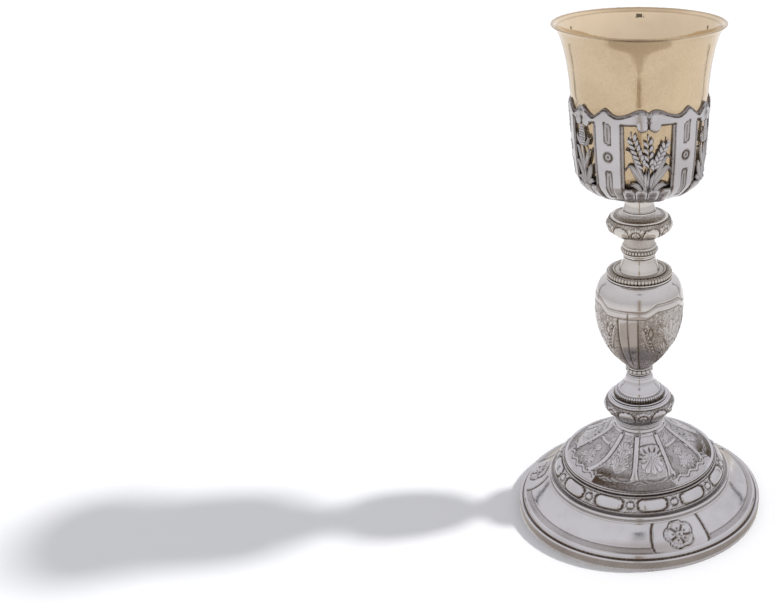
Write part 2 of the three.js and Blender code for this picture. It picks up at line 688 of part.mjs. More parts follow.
function calyx() {
  let band = calyxShell();
  const additions = [];
  for (let index = 0; index < PANELS; index++) {
    const wheat = WHEAT_AZIMUTH + (360 / PANELS) * index;
    const reed = wheat + 180 / PANELS;
    band = band.subtract(opening(wheat, WHEAT_OPENING_ANGLE));
    band = band.subtract(opening(reed, REED_OPENING_ANGLE));
    additions.push(...wheatSheaf(wheat), ...reedHead(reed));
    additions.push(...pilaster(wheat - PILASTER_OFFSET), ...pilaster(wheat + PILASTER_OFFSET));
  }
  return joinAll(band, additions);
}

// Cup
function cupOutline() {
  const seat = inset([point(0, CALYX_SEAT), ...calyxBowl()], CALYX_WALL + SEAT_GAP);
  const waistRadius = CALYX_BAND_RADIUS - CALYX_WALL - SEAT_GAP;
  const outline = [...seat, point(waistRadius, CALYX_BAND_TOP), point(waistRadius, CUP_WAIST)];
  const flare = CUP_RIM_RADIUS - LIP_WIDTH - waistRadius - LIP_TURN_OUT;
  for (const share of CUP_FLARE_SHARES) {
    const radius = waistRadius + flare * share ** CUP_FLARE_POWER
      + LIP_TURN_OUT * share ** LIP_TURN_POWER;
    outline.push(point(radius, CUP_WAIST + CUP_FLARE_RISE * share));
  }
  return outline;
}

function cup() {
  const outside = cupOutline();
  const inside = inset(outside, CUP_WALL);
  inside.pop();
  const lip = [
    point(CUP_RIM_RADIUS, CHALICE_HEIGHT - LIP_HEIGHT / 2),
    point(CUP_RIM_RADIUS - LIP_WIDTH / 2, CHALICE_HEIGHT),
    point(CUP_RIM_RADIUS - CUP_WALL, CHALICE_HEIGHT),
  ];
  return solidOf(turned([...outside, ...lip, ...inside.reverse()], CUP_FACETS));
}

addPiece("foot", foot(), silver);
addPiece("lower_knop", lowerKnop(), silver);
addPiece("lower_bell", lowerBell(), silver);
addPiece("vase_knop", vaseKnop(), silver);
addPiece("upper_bell", upperBell(), silver);
addPiece("upper_knop", upperKnop(), silver);
addPiece("neck", neck(), silver);
addPiece("calyx", calyx(), silver);
addPiece("cup", cup(), gilt);

export default chalice;
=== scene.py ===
# A standing chalice: gilt cup, pierced silver calyx, ornamented stem and round foot.
# Outlines are in millimetres and are brought to metres when a mesh is made.
# An azimuth of 0 degrees faces the front (-Y) and grows towards +X.
import bpy
import bmesh
import math
import numpy as np
from mathutils import Matrix, Vector


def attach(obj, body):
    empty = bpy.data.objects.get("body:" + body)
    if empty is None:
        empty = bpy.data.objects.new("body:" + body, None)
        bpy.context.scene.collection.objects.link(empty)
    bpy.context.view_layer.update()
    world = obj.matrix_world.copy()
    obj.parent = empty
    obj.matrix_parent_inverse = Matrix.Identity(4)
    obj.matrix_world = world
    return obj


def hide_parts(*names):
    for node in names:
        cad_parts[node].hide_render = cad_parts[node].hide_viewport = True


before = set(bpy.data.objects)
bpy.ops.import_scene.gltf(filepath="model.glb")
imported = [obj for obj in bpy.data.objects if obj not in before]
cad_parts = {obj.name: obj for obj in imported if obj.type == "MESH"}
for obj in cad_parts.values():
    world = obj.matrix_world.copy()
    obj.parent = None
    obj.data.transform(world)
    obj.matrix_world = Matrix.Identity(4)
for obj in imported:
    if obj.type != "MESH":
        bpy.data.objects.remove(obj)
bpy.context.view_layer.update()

MM = 0.001

# Heights of the seats along the stem, as the solids have them
FOOT_TOP = 53.4
LOWER_KNOP_SEAT = 53.7
LOWER_KNOP_TOP = 72.2
LOWER_BELL_SEAT = 72.5
LOWER_BELL_TOP = 86.5
VASE_SEAT = 86.8
VASE_TOP = 146.5
UPPER_BELL_SEAT = 146.8
UPPER_BELL_TOP = 158.5
UPPER_KNOP_SEAT = 158.8
UPPER_KNOP_TOP = 185.2
NECK_SEAT = 185.5
NECK_TOP = 194.6
CALYX_SEAT = 194.9
CUP_SEAT = 196.1
CUP_TOP = 285.0

# How finely each piece is turned
FOOT_COLUMNS = 576
KNOP_COLUMNS = 432
BELL_COLUMNS = 360
VASE_COLUMNS = 432
NECK_COLUMNS = 192
CALYX_COLUMNS = 480
CUP_COLUMNS = 288
SECTORS = 8
SAME_PLACE = 1e-6
SHARP_ANGLE = 50

# Foot ornament
BAND_MOTIFS = 12
BAND_BAR_START = 9
BAND_BAR_ANGLE = 18.5
BAND_LENGTH = 10.2
BAND_RADIUS = 47.5
APRON_LENGTH = 17.4
FLOWER_AZIMUTH = 21.5
FLOWER_RADIUS = 8.4
FLOWER_PETALS = 5
FLOWER_PANEL_ANGLE = 30.5
SHELL_AZIMUTH = 15
SHELL_RUN = 18.5
# Where the painted dark reflection at the foot of the dome is strongest
PAINTED_REFLECTION_AZIMUTH = -36
CARTOUCHE_AZIMUTH = 55.5
CARTOUCHE_RUN = 4.2
CARTOUCHE_LENGTH = 20
CARTOUCHE_HALF_WIDTH = 15.2

# Knop ornament
KNOP_MOTIFS = 6
LOWER_BAR_START = 37
LOWER_BAR_ANGLE = 27
UPPER_BAR_START = 23.5
UPPER_BAR_ANGLE = 29
BAR_LEVEL = 0.58

# Vase
STRIP_AZIMUTH = -15
LEAFAGE_AZIMUTH = 45
ARCH_HEIGHT = 134.6
ARCH_RISE = 3.9
BELLY_RADIUS = 24.8

# Calyx
PANELS = 3
WHEAT_AZIMUTH = 7.5
WHEAT_HALF_ANGLE = 22.5
REED_HALF_ANGLE = 15
LEDGE_ANGLE = 2.2
POST_AZIMUTH = 33.75
ROUNDEL_HEIGHT = 223.8
BAND_MEAN_RADIUS = 36
CALYX_BAND_RADIUS = 36.65
CALYX_WALL = 0.9
SILL = 207.5
EDGE_STOPS = [
    (0, 247.0), (3, 248.4), (7, 248.7), (12, 247.8), (18, 246.3), (25, 245.4), (30, 246.4),
    (36, 248.7), (41, 246.7), (47, 244.2), (51, 245.0), (54.5, 246.4), (57.5, 247.6), (60, 248.1),
]
HEAD_STOPS = [
    (0, 239.0), (1.6, 238.2), (4.9, 237.4), (7.6, 238.0), (9, 239.2), (9.9, 240.6), (12, 240.7),
    (18, 240.7), (22.5, 240.9),
    (34, 240.6), (45, 240.6), (50, 240), (53, 238.4), (55.5, 237.7), (58, 238.2), (60, 238.8),
]

# Studio
SUN_PLACE = (0.324, 0.043, 0.294)
SUN_ANGLE = 4.5
SUN_STRENGTH = 2.55
TENT_RADIUS = 2.3
CEILING_DIRECTION = (0, 0.14, 0.99)
TENT_TONES = [
    (0.0, (1.13, 1.12, 1.12)), (0.48, (1.13, 1.12, 1.12)), (0.5, (0.84, 0.83, 0.84)),
    (0.65, (1.0, 1.0, 1.03)), (0.93, (1.06, 1.06, 1.10)), (0.97, (0.84, 0.80, 0.79)),
    (1.0, (0.72, 0.68, 0.66)),
]
ROOM_STRENGTH = 0.86
ROOM_TONES = [
    (0.0, (0.30, 0.28, 0.27)), (0.18, (0.42, 0.40, 0.39)), (0.3, (0.70, 0.70, 0.72)),
    (0.8, (0.82, 0.83, 0.88)), (1.0, (0.66, 0.67, 0.72)),
]

# The photograph's view
CAMERA_PLACE = (0, -0.5716, 0.3868)
CAMERA_TILT = 65.7
SENSOR_WIDTH = 36
LENS = 51.77
FRAME_SHIFT = -0.3228


# Drawing an outline

def smooth_curve(stops, step):
    """A smooth curve through the stops, with places about one step apart."""
    stops = [np.array(stop, dtype=float) for stop in stops]
    ends = [2 * stops[0] - stops[1]] + stops + [2 * stops[-1] - stops[-2]]
    places = [tuple(stops[0])]
    for before, start, end, after in zip(ends, ends[1:], ends[2:], ends[3:]):
        count = max(1, round(np.linalg.norm(end - start) / step))
        for index in range(1, count + 1):
            t = index / count
            spot = 0.5 * (
                2 * start
                + (end - before) * t
                + (2 * before - 5 * start + 4 * end - after) * t ** 2
                + (3 * start - before - 3 * end + after) * t ** 3
            )
            places.append(tuple(spot))
    return places


class Outline:
    """The outline of a turned piece, drawn up its outside, in radius and height."""

    def __init__(self, radius, height):
        self.places = [(radius, height)]
        self.marks = {}

    def line(self, radius, height, step=1.5):
        start = self.places[-1]
        count = max(1, round(math.dist(start, (radius, height)) / step))
        for index in range(1, count + 1):
            share = index / count
            self.places.append((
                start[0] + (radius - start[0]) * share,
                start[1] + (height - start[1]) * share,
            ))
        return self

    def bow(self, radius, height, bulge, step=0.4):
        """An arc that swells outwards by a share of its chord, or inwards below nought."""
        start = self.places[-1]
        across, up = radius - start[0], height - start[1]
        half = 2 * math.atan(2 * abs(bulge))
        side = 1 if bulge > 0 else -1
        count = max(3, round(math.hypot(across, up) * (1 + abs(bulge)) / step))
        for index in range(1, count + 1):
            turn = half * (2 * index / count - 1)
            share = 0.5 + 0.5 * math.sin(turn) / math.sin(half)
            swell = side * (math.cos(turn) - math.cos(half)) / (2 * math.sin(half))
            self.places.append((
                start[0] + across * share + up * swell,
                start[1] + up * share - across * swell,
            ))
        return self

    def through(self, stops, step=0.6):
        self.places += smooth_curve([self.places[-1]] + stops, step)[1:]
        return self

    def mark(self, name):
        self.marks[name] = len(self.places) - 1
        return self


# Carving a turned surface

def unit(values):
    return np.clip(values, 0, 1)


def fade(distance, width, power=2):
    """1 on a line, and next to nothing at twice the width from it."""
    return np.exp(-(distance / width) ** power)


class Carving:
    """A turned surface as a map, with the relief and its darkening, which is oxide in the
    recesses and, in places, painted shade and a painted reflection.
    """

    def __init__(self, mesh, outline):
        count = len(mesh.vertices)
        spots = np.empty(count * 3)
        mesh.vertices.foreach_get("co", spots)
        spots = spots.reshape(-1, 3) / MM
        self.row = np.empty(count, dtype=np.int32)
        mesh.attributes["row"].data.foreach_get("value", self.row)
        self.angle = np.arctan2(spots[:, 0], -spots[:, 1])
        self.azimuth = np.degrees(self.angle)
        places = np.array(outline.places)
        self.radius = places[self.row, 0].copy()
        self.height = places[self.row, 1].copy()
        lengths = np.hypot(*np.diff(places, axis=0).T)
        self.lengths = np.concatenate([[0], np.cumsum(lengths)])
        self.along = self.lengths[self.row]
        run = np.gradient(places, axis=0)
        run /= np.maximum(np.hypot(run[:, 0], run[:, 1]), 1e-9)[:, None]
        self.out = run[self.row, 1]
        self.up = -run[self.row, 0]
        self.marks = outline.marks
        self.lift = np.zeros(count)
        self.dark = np.zeros(count)
        self.matt = np.zeros(count)

    def between(self, first, last):
        low, high = self.marks[first], self.marks[last]
        return (self.row >= low) & (self.row <= high)

    def share(self, first, last):
        low, high = self.lengths[self.marks[first]], self.lengths[self.marks[last]]
        return (self.along - low) / (high - low)

    def length(self, first, last):
        return self.lengths[self.marks[last]] - self.lengths[self.marks[first]]

    def run_from(self, name):
        return self.along - self.lengths[self.marks[name]]

    def away(self, centre, count=1):
        """Degrees from the nearest of a number of equal places round the axis."""
        period = 360 / count
        turn = self.azimuth - centre
        return turn - np.round(turn / period) * period

    def across(self, centre, count=1):
        """The same in millimetres round the surface."""
        return self.arc(self.away(centre, count))

    def arc(self, degrees):
        return np.radians(degrees) * self.radius

    def raise_by(self, where, amount):
        self.lift = np.where(where, np.maximum(self.lift, amount), self.lift)

    def add(self, where, amount):
        self.lift = np.where(where, self.lift + amount, self.lift)

    def darken(self, where, amount):
        self.dark = np.where(where, np.maximum(self.dark, amount), self.dark)

    def lighten(self, where):
        self.dark = np.where(where, 0.1, self.dark)

    def roughen(self, where, amount):
        self.matt = np.where(where, amount, self.matt)

    def clear(self, where):
        self.dark = np.where(where, 0, self.dark)
        self.matt = np.where(where, 0, self.matt)
        self.lift = np.where(where, 0, self.lift)

    def ridge(self, where, distance, half_width, height, line=0.35):
        """A rounded rib about a line, with a dark cut on both sides of it."""
        near = where & (np.abs(distance) < half_width + 3 * line)
        share = unit(1 - (distance / half_width) ** 2)
        inside = near & (share > 0)
        self.clear(inside)
        self.raise_by(inside, height * np.sqrt(share))
        gap = (np.abs(distance) - half_width - line) / line
        self.darken(near & ~inside, np.exp(-gap ** 2))
        self.add(near & ~inside, -0.25 * height * np.exp(-gap ** 2))

    def cut(self, where, distance, half_width, depth=0.25, tone=1.0):
        """A dark engraved line."""
        line = fade(distance, half_width)
        self.darken(where, np.minimum(tone, 1.6 * tone * line))
        self.add(where & (line > 0.05), -depth * line)

    def oval(self, where, across, along, half_width, half_height, height, power=2.0, flat=2.4):
        """A smooth oval boss with a dark line round it."""
        reach = (np.abs(across / half_width) ** power + np.abs(along / half_height) ** power)
        reach = reach ** (1 / power)
        inside = where & (reach < 1)
        self.clear(inside)
        self.raise_by(inside, height * np.sqrt(unit(1 - reach ** flat)))
        size = min(half_width, half_height)
        self.cut(where & ~inside, (reach - 1) * size - 0.25, 0.4, 0.2)

    def leaf_fan(self, where, across, along, aim, length, spread, lobes, height):
        """A fan of round-ended leaves from a root, aimed in degrees from straight up."""
        turn = np.degrees(np.arctan2(across, along)) - aim
        turn = (turn + 180) % 360 - 180
        distance = np.hypot(across, along)
        place = turn / (2 * spread) * lobes
        part = place - np.floor(place + 0.5) if lobes % 2 else place - np.floor(place) - 0.5
        reach = length * (0.72 + 0.28 * np.cos(np.radians(turn) * 90 / spread))
        reach = reach * (1 - 0.9 * part ** 2)
        fan = where & (np.abs(turn) < spread) & (distance < reach)
        body = np.sqrt(unit(1 - (2 * part) ** 2))
        tip = np.sqrt(unit(1 - (distance / np.maximum(reach, 1e-6)) ** 4))
        self.clear(fan)
        self.raise_by(fan, height * (0.35 + 0.65 * body) * tip)
        gap = np.abs(part) > 0.36
        self.darken(fan & gap, (np.abs(part) - 0.36) / 0.14)
        vein = fade(part * distance * 0.5, 0.16) * (distance < 0.7 * reach)
        self.darken(fan, 0.45 * vein)
        rim = where & (np.abs(turn) < spread + 6) & ~fan
        self.darken(rim, 0.9 * fade(distance - reach - 0.25, 0.35))

    def scrollwork(self, where, across, along, pitch, height, tone=0.8):
        """Curling leafage that fills a ground."""
        wave = 2 * math.pi / pitch
        curl = np.sin(wave * across + 1.7 * np.sin(0.9 * wave * along))
        curl = curl * np.sin(wave * along + 1.7 * np.sin(0.8 * wave * across + 1.3))
        self.darken(where, tone * unit(0.55 - 1.6 * curl) ** 1.5)
        self.add(where, height * np.clip(curl, -0.2, 1))
        self.roughen(where, unit(0.5 - curl))

    def finish(self, mesh):
        radius = self.radius + self.out * self.lift
        height = self.height + self.up * self.lift
        spots = np.stack([
            radius * np.sin(self.angle), -radius * np.cos(self.angle), height,
        ], axis=1)
        mesh.vertices.foreach_set("co", (spots * MM).ravel())
        for name, values in (("dark", self.dark), ("matt", self.matt)):
            layer = mesh.attributes.new(name, "FLOAT", "POINT")
            layer.data.foreach_set("value", unit(values).astype(np.float32))
        mesh.update()


# Making the meshes

def spun(outline, columns):
    """A bmesh turned about the axis from an outline, its rows numbered. One sector is
    spun, and then doubled round the axis until it closes."""
    work = bmesh.new()
    row = work.verts.layers.int.new("row")
    chain = []
    for index, (radius, height) in enumerate(outline.places):
        vert = work.verts.new((0, -radius * MM, height * MM))
        vert[row] = index
        chain.append(vert)
    for first, second in zip(chain, chain[1:]):
        work.edges.new((first, second))
    bmesh.ops.spin(
        work, geom=work.verts[:] + work.edges[:], cent=(0, 0, 0), axis=(0, 0, 1),
        angle=math.tau / SECTORS, steps=columns // SECTORS, use_merge=False,
        use_duplicate=False,
    )
    turned_so_far = 1
    while turned_so_far < SECTORS:
        copy = bmesh.ops.duplicate(work, geom=work.verts[:] + work.edges[:] + work.faces[:])
        verts = [part for part in copy["geom"] if isinstance(part, bmesh.types.BMVert)]
        turn = Matrix.Rotation(math.tau * turned_so_far / SECTORS, 3, "Z")
        bmesh.ops.rotate(work, verts=verts, cent=(0, 0, 0), matrix=turn)
        turned_so_far *= 2
    bmesh.ops.remove_doubles(work, verts=work.verts[:], dist=SAME_PLACE)
    bmesh.ops.recalc_face_normals(work, faces=work.faces[:])
    return work


def mesh_from(work, name):
    """The finished bmesh as a mesh."""
    mesh = bpy.data.meshes.new(name)
    work.to_mesh(mesh)
    work.free()
    return mesh


def in_scene(name, data):
    thing = bpy.data.objects.new(name, data)
    bpy.context.scene.collection.objects.link(thing)
    return thing


def add_piece(name, mesh, material):
    mesh.shade_smooth()
    mesh.set_sharp_from_angle(angle=math.radians(SHARP_ANGLE))
    mesh.materials.append(material)
    piece = in_scene(name + "Fine", mesh)
    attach(piece, "root")
    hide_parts(name)
    return piece


def turned_piece(name, outline, columns, carve, material):
    mesh = mesh_from(spun(outline, columns), name)
    carving = Carving(mesh, outline)
    carve(carving)
    carving.finish(mesh)
    return add_piece(name, mesh, material)


# Materials

def new_material(name):
    material = bpy.data.materials.new(name)
    material.use_nodes = True
    tree = material.node_tree
    return material, tree.nodes, tree.links, tree.nodes["Principled BSDF"]


def tone_ramp(nodes, stops):
    """A ramp through pairs of a position and a tone."""
    ramp = nodes.new("ShaderNodeValToRGB")
    tones = ramp.color_ramp.elements
    first, *middle, last = stops
    for element, (position, tone) in zip(tones, (first, last)):
        element.position, element.color = position, (*tone, 1)
    for position, tone in middle:
        tones.new(position).color = (*tone, 1)
    return ramp


def new_group(name, inputs, outputs):
    group = bpy.data.node_groups.new(name, "ShaderNodeTree")
    for label, kind, value in inputs:
        socket = group.interface.new_socket(label, in_out="INPUT", socket_type=kind)
        socket.default_value = value
    for label, kind in outputs:
        group.interface.new_socket(label, in_out="OUTPUT", socket_type=kind)
    return group, group.nodes.new("NodeGroupInput"), group.nodes.new("NodeGroupOutput")


def sum_node(nodes, links, operation, *values, clamp=False):
    """One step of arithmetic on sockets and numbers."""
    node = nodes.new("ShaderNodeMath")
    node.operation = operation
    node.use_clamp = clamp
    for socket, value in zip(node.inputs, values):
        if isinstance(value, (int, float)):
            socket.default_value = value
        else:
            links.new(value, socket)
    return node.outputs[0]


def noise_node(nodes, links, scale, detail, stretch=None):
    """Noise on the piece's own coordinates, drawn out along one way where asked."""
    coordinates = nodes.new("ShaderNodeTexCoord")
    noise = nodes.new("ShaderNodeTexNoise")
    noise.inputs["Scale"].default_value = scale
    noise.inputs["Detail"].default_value = detail
    source = coordinates.outputs["Object"]
    if stretch:
        mapping = nodes.new("ShaderNodeMapping")
        mapping.inputs["Scale"].default_value = stretch
        links.new(source, mapping.inputs["Vector"])
        source = mapping.outputs["Vector"]
    links.new(source, noise.inputs["Vector"])
    return noise.outputs["Fac"]


def make_tarnish_and_shade_group():
    """Where the metal is darkened: oxide in the recesses, painted shade and a painted reflection
    carried by the same mask, and faint clouds over the rest.
    """
    group, start, end = new_group("tarnish_and_shade", [
        ("Hollow_and_shade", "NodeSocketFloat", 0.0),
        ("Clouding", "NodeSocketFloat", 0.1),
    ], [("Mask", "NodeSocketFloat")])
    nodes, links = group.nodes, group.links
    clouds = noise_node(nodes, links, 55, 4)
    flecks = noise_node(nodes, links, 900, 3)
    broken = sum_node(nodes, links, "MULTIPLY_ADD", flecks, 0.9, 0.5)
    dark_part = sum_node(nodes, links, "MULTIPLY", start.outputs["Hollow_and_shade"], broken)
    haze = sum_node(nodes, links, "SUBTRACT", clouds, 0.42, clamp=True)
    haze = sum_node(nodes, links, "MULTIPLY", haze, start.outputs["Clouding"])
    mask = sum_node(nodes, links, "ADD", dark_part, haze, clamp=True)
    links.new(mask, end.inputs["Mask"])
    return group


def make_surface_group():
    """The fine finish: punched ground, hairline scratches and soft dents as one height."""
    group, start, end = new_group("surface", [
        ("Punching", "NodeSocketFloat", 0.0),
        ("Scratches", "NodeSocketFloat", 0.1),
        ("Dents", "NodeSocketFloat", 0.2),
    ], [("Height", "NodeSocketFloat"), ("Dullness", "NodeSocketFloat")])
    nodes, links = group.nodes, group.links
    coordinates = nodes.new("ShaderNodeTexCoord")
    punch = nodes.new("ShaderNodeTexVoronoi")
    punch.inputs["Scale"].default_value = 1300
    links.new(coordinates.outputs["Object"], punch.inputs["Vector"])
    punching = start.outputs["Punching"]
    pits = sum_node(nodes, links, "MULTIPLY", punch.outputs["Distance"], punching)
    hairs = noise_node(nodes, links, 700, 2, (1, 1, 0.05))
    hairs = sum_node(nodes, links, "MULTIPLY", hairs, start.outputs["Scratches"])
    dents = noise_node(nodes, links, 70, 1)
    dents = sum_node(nodes, links, "MULTIPLY", dents, start.outputs["Dents"])
    height = sum_node(nodes, links, "ADD", pits, hairs)
    height = sum_node(nodes, links, "ADD", height, dents)
    links.new(height, end.inputs["Height"])
    rubbed = sum_node(nodes, links, "MULTIPLY", noise_node(nodes, links, 160, 5), 0.14)
    dull = sum_node(nodes, links, "MULTIPLY_ADD", punching, 0.16, rubbed)
    links.new(dull, end.inputs["Dullness"])
    return group


def make_metal(name, bright, tarnish_and_shade_tone, shine, clouding, scratches, dents, metallic=1.0):
    """Polished metal: its bright tone, the tone of its oxide and painted shade, and how rough and
    worn it is.
    """
    material, nodes, links, shader = new_material(name)
    shader.inputs["Metallic"].default_value = metallic
    shader.inputs["Anisotropic"].default_value = 0.2
    dark_marks = nodes.new("ShaderNodeAttribute")
    dark_marks.attribute_name = "dark"
    matted = nodes.new("ShaderNodeAttribute")
    matted.attribute_name = "matt"
    tarnish_and_shade = nodes.new("ShaderNodeGroup")
    tarnish_and_shade.node_tree = TARNISH_AND_SHADE
    tarnish_and_shade.inputs["Clouding"].default_value = clouding
    links.new(dark_marks.outputs["Fac"], tarnish_and_shade.inputs["Hollow_and_shade"])
    surface = nodes.new("ShaderNodeGroup")
    surface.node_tree = SURFACE
    surface.inputs["Scratches"].default_value = scratches
    surface.inputs["Dents"].default_value = dents
    links.new(matted.outputs["Fac"], surface.inputs["Punching"])
    colour = nodes.new("ShaderNodeMix")
    colour.data_type = "RGBA"
    colour.inputs[6].default_value = (*bright, 1)
    colour.inputs[7].default_value = (*tarnish_and_shade_tone, 1)
    links.new(tarnish_and_shade.outputs["Mask"], colour.inputs[0])
    links.new(colour.outputs[2], shader.inputs["Base Color"])
    base = sum_node(nodes, links, "ADD", surface.outputs["Dullness"], shine)
    rough = sum_node(nodes, links, "MULTIPLY_ADD", tarnish_and_shade.outputs["Mask"], 0.3, base)
    links.new(rough, shader.inputs["Roughness"])
    bump = nodes.new("ShaderNodeBump")
    bump.inputs["Strength"].default_value = 0.5
    bump.inputs["Distance"].default_value = 0.0003
    links.new(surface.outputs["Height"], bump.inputs["Height"])
    links.new(bump.outputs["Normal"], shader.inputs["Normal"])
    return material


TARNISH_AND_SHADE = make_tarnish_and_shade_group()
SURFACE = make_surface_group()

# The dark tones below are mixed in by the dark mask: oxide in the recesses, and painted shade and
# a painted reflection where the mask carries them.
OXIDE_AND_SHADE = (0.075, 0.052, 0.036)
chased_silver = make_metal(
    "chased_silver", (0.51, 0.495, 0.51), OXIDE_AND_SHADE, 0.05, 0.5, 0.15, 0.5,
)
vase_silver = make_metal(
    "vase_silver", (0.53, 0.505, 0.50), (0.12, 0.085, 0.055), 0.05, 0.5, 0.15, 0.5,
)
stem_silver = make_metal(
    "stem_silver", (0.57, 0.54, 0.51), (0.11, 0.075, 0.045), 0.03, 0.4, 0.15, 0.4,
)
calyx_silver = make_metal(
    "calyx_silver", (0.47, 0.455, 0.47), OXIDE_AND_SHADE, 0.12, 0.5, 0.15, 0.5,
)
cup_gilt = make_metal(
    "cup_gilt", (0.69, 0.555, 0.385), (0.27, 0.18, 0.09), -0.04, 0.4, 0.25, 0.25, 0.78,
)


# Foot

def foot_outline():
    outline = Outline(0, 51.6)
    outline.line(12, 51.6, 3)
    outline.through([(20, 44.9), (30, 38), (39, 32), (43, 28.6)], 2.4)
    outline.line(48.5, 21.4, 2.4).line(52.5, 17.4, 2.4).line(67.5, 6, 2.6)
    outline.line(69, 5, 2).line(69, 0, 2.5)
    outline.line(71.9, 0, 1.5).bow(72.2, 0.4, 0.2, 0.2).line(72.2, 5.6, 1.2).mark("wall_top")
    outline.bow(71.2, 6.6, 0.35, 0.25).line(70.7, 6.4, 0.4)
    outline.bow(70, 6.9, -0.3, 0.3).line(69.5, 8.0, 0.4).bow(67.9, 9.0, 0.15, 0.35)
    outline.mark("apron_low")
    outline.through([(63.5, 11.4), (60, 13.9), (57, 16.4), (54.6, 19.0)], 0.62)
    outline.mark("apron_high")
    outline.bow(53.6, 19.9, 0.3, 0.3).line(53.4, 20.5, 0.4)
    outline.bow(51.6, 22.0, 0.35, 0.3).line(51.0, 22.1, 0.4).line(50.9, 22.7, 0.4)
    outline.mark("band_low")
    outline.bow(45.1, 30.7, 0.04, 0.52).mark("band_high")
    outline.line(44.6, 30.8, 0.4).line(44.3, 31.0, 0.3)
    outline.bow(43.2, 33.0, 0.5, 0.25).line(42.7, 32.9, 0.3).mark("dome_low")
    outline.through([
        (40.6, 34.2), (37, 36.4), (32, 39.2), (26, 43.2), (20, 47.6), (16.5, 50.8), (14.3, 53.2),
    ], 0.6).mark("dome_high")
    outline.line(14.1, FOOT_TOP, 0.3).line(0, FOOT_TOP, 5)
    return outline


def carve_band(carving):
    band = carving.between("band_low", "band_high")
    middle = carving.share("band_low", "band_high")
    along = (middle - 0.5) * BAND_LENGTH
    across = carving.across(BAND_BAR_START + 15, BAND_MOTIFS)
    carving.roughen(band, 1)
    carving.darken(band, 0.34)
    for side in (-1, 1):
        for aim, spread in ((36, 30), (144, 30), (90, 26)):
            root = across - side * 0.6
            carving.leaf_fan(band, root, along, side * aim, 5.0, spread, 3, 0.6)
    carving.oval(band, across, along, 1.9, 1.9, 1.4)
    bars = carving.across(BAND_BAR_START, BAND_MOTIFS)
    half = math.radians(BAND_BAR_ANGLE / 2) * BAND_RADIUS
    carving.oval(band, bars, along, half, 3.5, 1.1, 3.4, 5.0)
    for edge in (0.045, 0.955):
        carving.ridge(band, (middle - edge) * BAND_LENGTH, 0.4, 0.35, 0.22)


def carve_apron(carving):
    apron = carving.between("apron_low", "apron_high")
    run = carving.share("apron_low", "apron_high") * APRON_LENGTH
    middle = 8.9
    across = carving.across(FLOWER_AZIMUTH, PANELS)
    side = np.abs(carving.away(FLOWER_AZIMUTH, PANELS))
    swell = np.sqrt(unit(1 - ((run - middle) / 9) ** 2))
    half = FLOWER_PANEL_ANGLE / 2 * (0.86 + 0.14 * swell)
    edge = carving.arc(side - half)
    carving.cut(apron, edge, 0.7, 0.5)
    carving.darken(apron & (side > half), 0.34 * unit((3.4 - run) / 0.6))
    carving.cut(apron & (side > half), run - 3.3, 0.25, 0.12, 0.7)
    distance = np.hypot(across, run - middle)
    turn = np.arctan2(across, run - middle)
    petal = turn * FLOWER_PETALS / math.tau + 0.12
    part = petal - np.round(petal)
    reach = FLOWER_RADIUS * (1 - 0.7 * np.abs(part) ** 2.2)
    flower = apron & (distance < reach)
    cup = distance / reach
    rise = unit(cup) ** 1.5 * unit((1 - cup) * 6)
    carving.raise_by(flower, 0.35 + 0.95 * rise)
    ribs = 0.5 + 0.5 * np.cos(part * math.tau * 5)
    carving.darken(flower & (cup > 0.55), 0.5 * ribs * (cup - 0.4))
    gap = np.abs(np.abs(part) - 0.5) * math.tau / FLOWER_PETALS * distance
    carving.cut(flower & (distance > 2.4) & (cup < 0.86), gap, 0.62, 0.6)
    carving.cut(flower, np.hypot(part * distance * 1.25, distance - 3.7), 0.6, 0.35)
    carving.cut(apron & ~flower, distance - reach - 0.2, 0.45, 0.3)
    fold = np.abs(distance - 0.8 * reach) / 0.3
    carving.darken(flower & (np.abs(part) > 0.16), 0.55 * np.exp(-fold ** 2))
    ring = apron & (distance < 2.4)
    carving.clear(ring)
    carving.raise_by(ring, 0.5 + 0.9 * fade(distance - 1.65, 0.5))
    carving.darken(ring, fade(distance, 0.8, 4))
    carving.darken(ring, 0.8 * fade(distance - 2.4, 0.3))


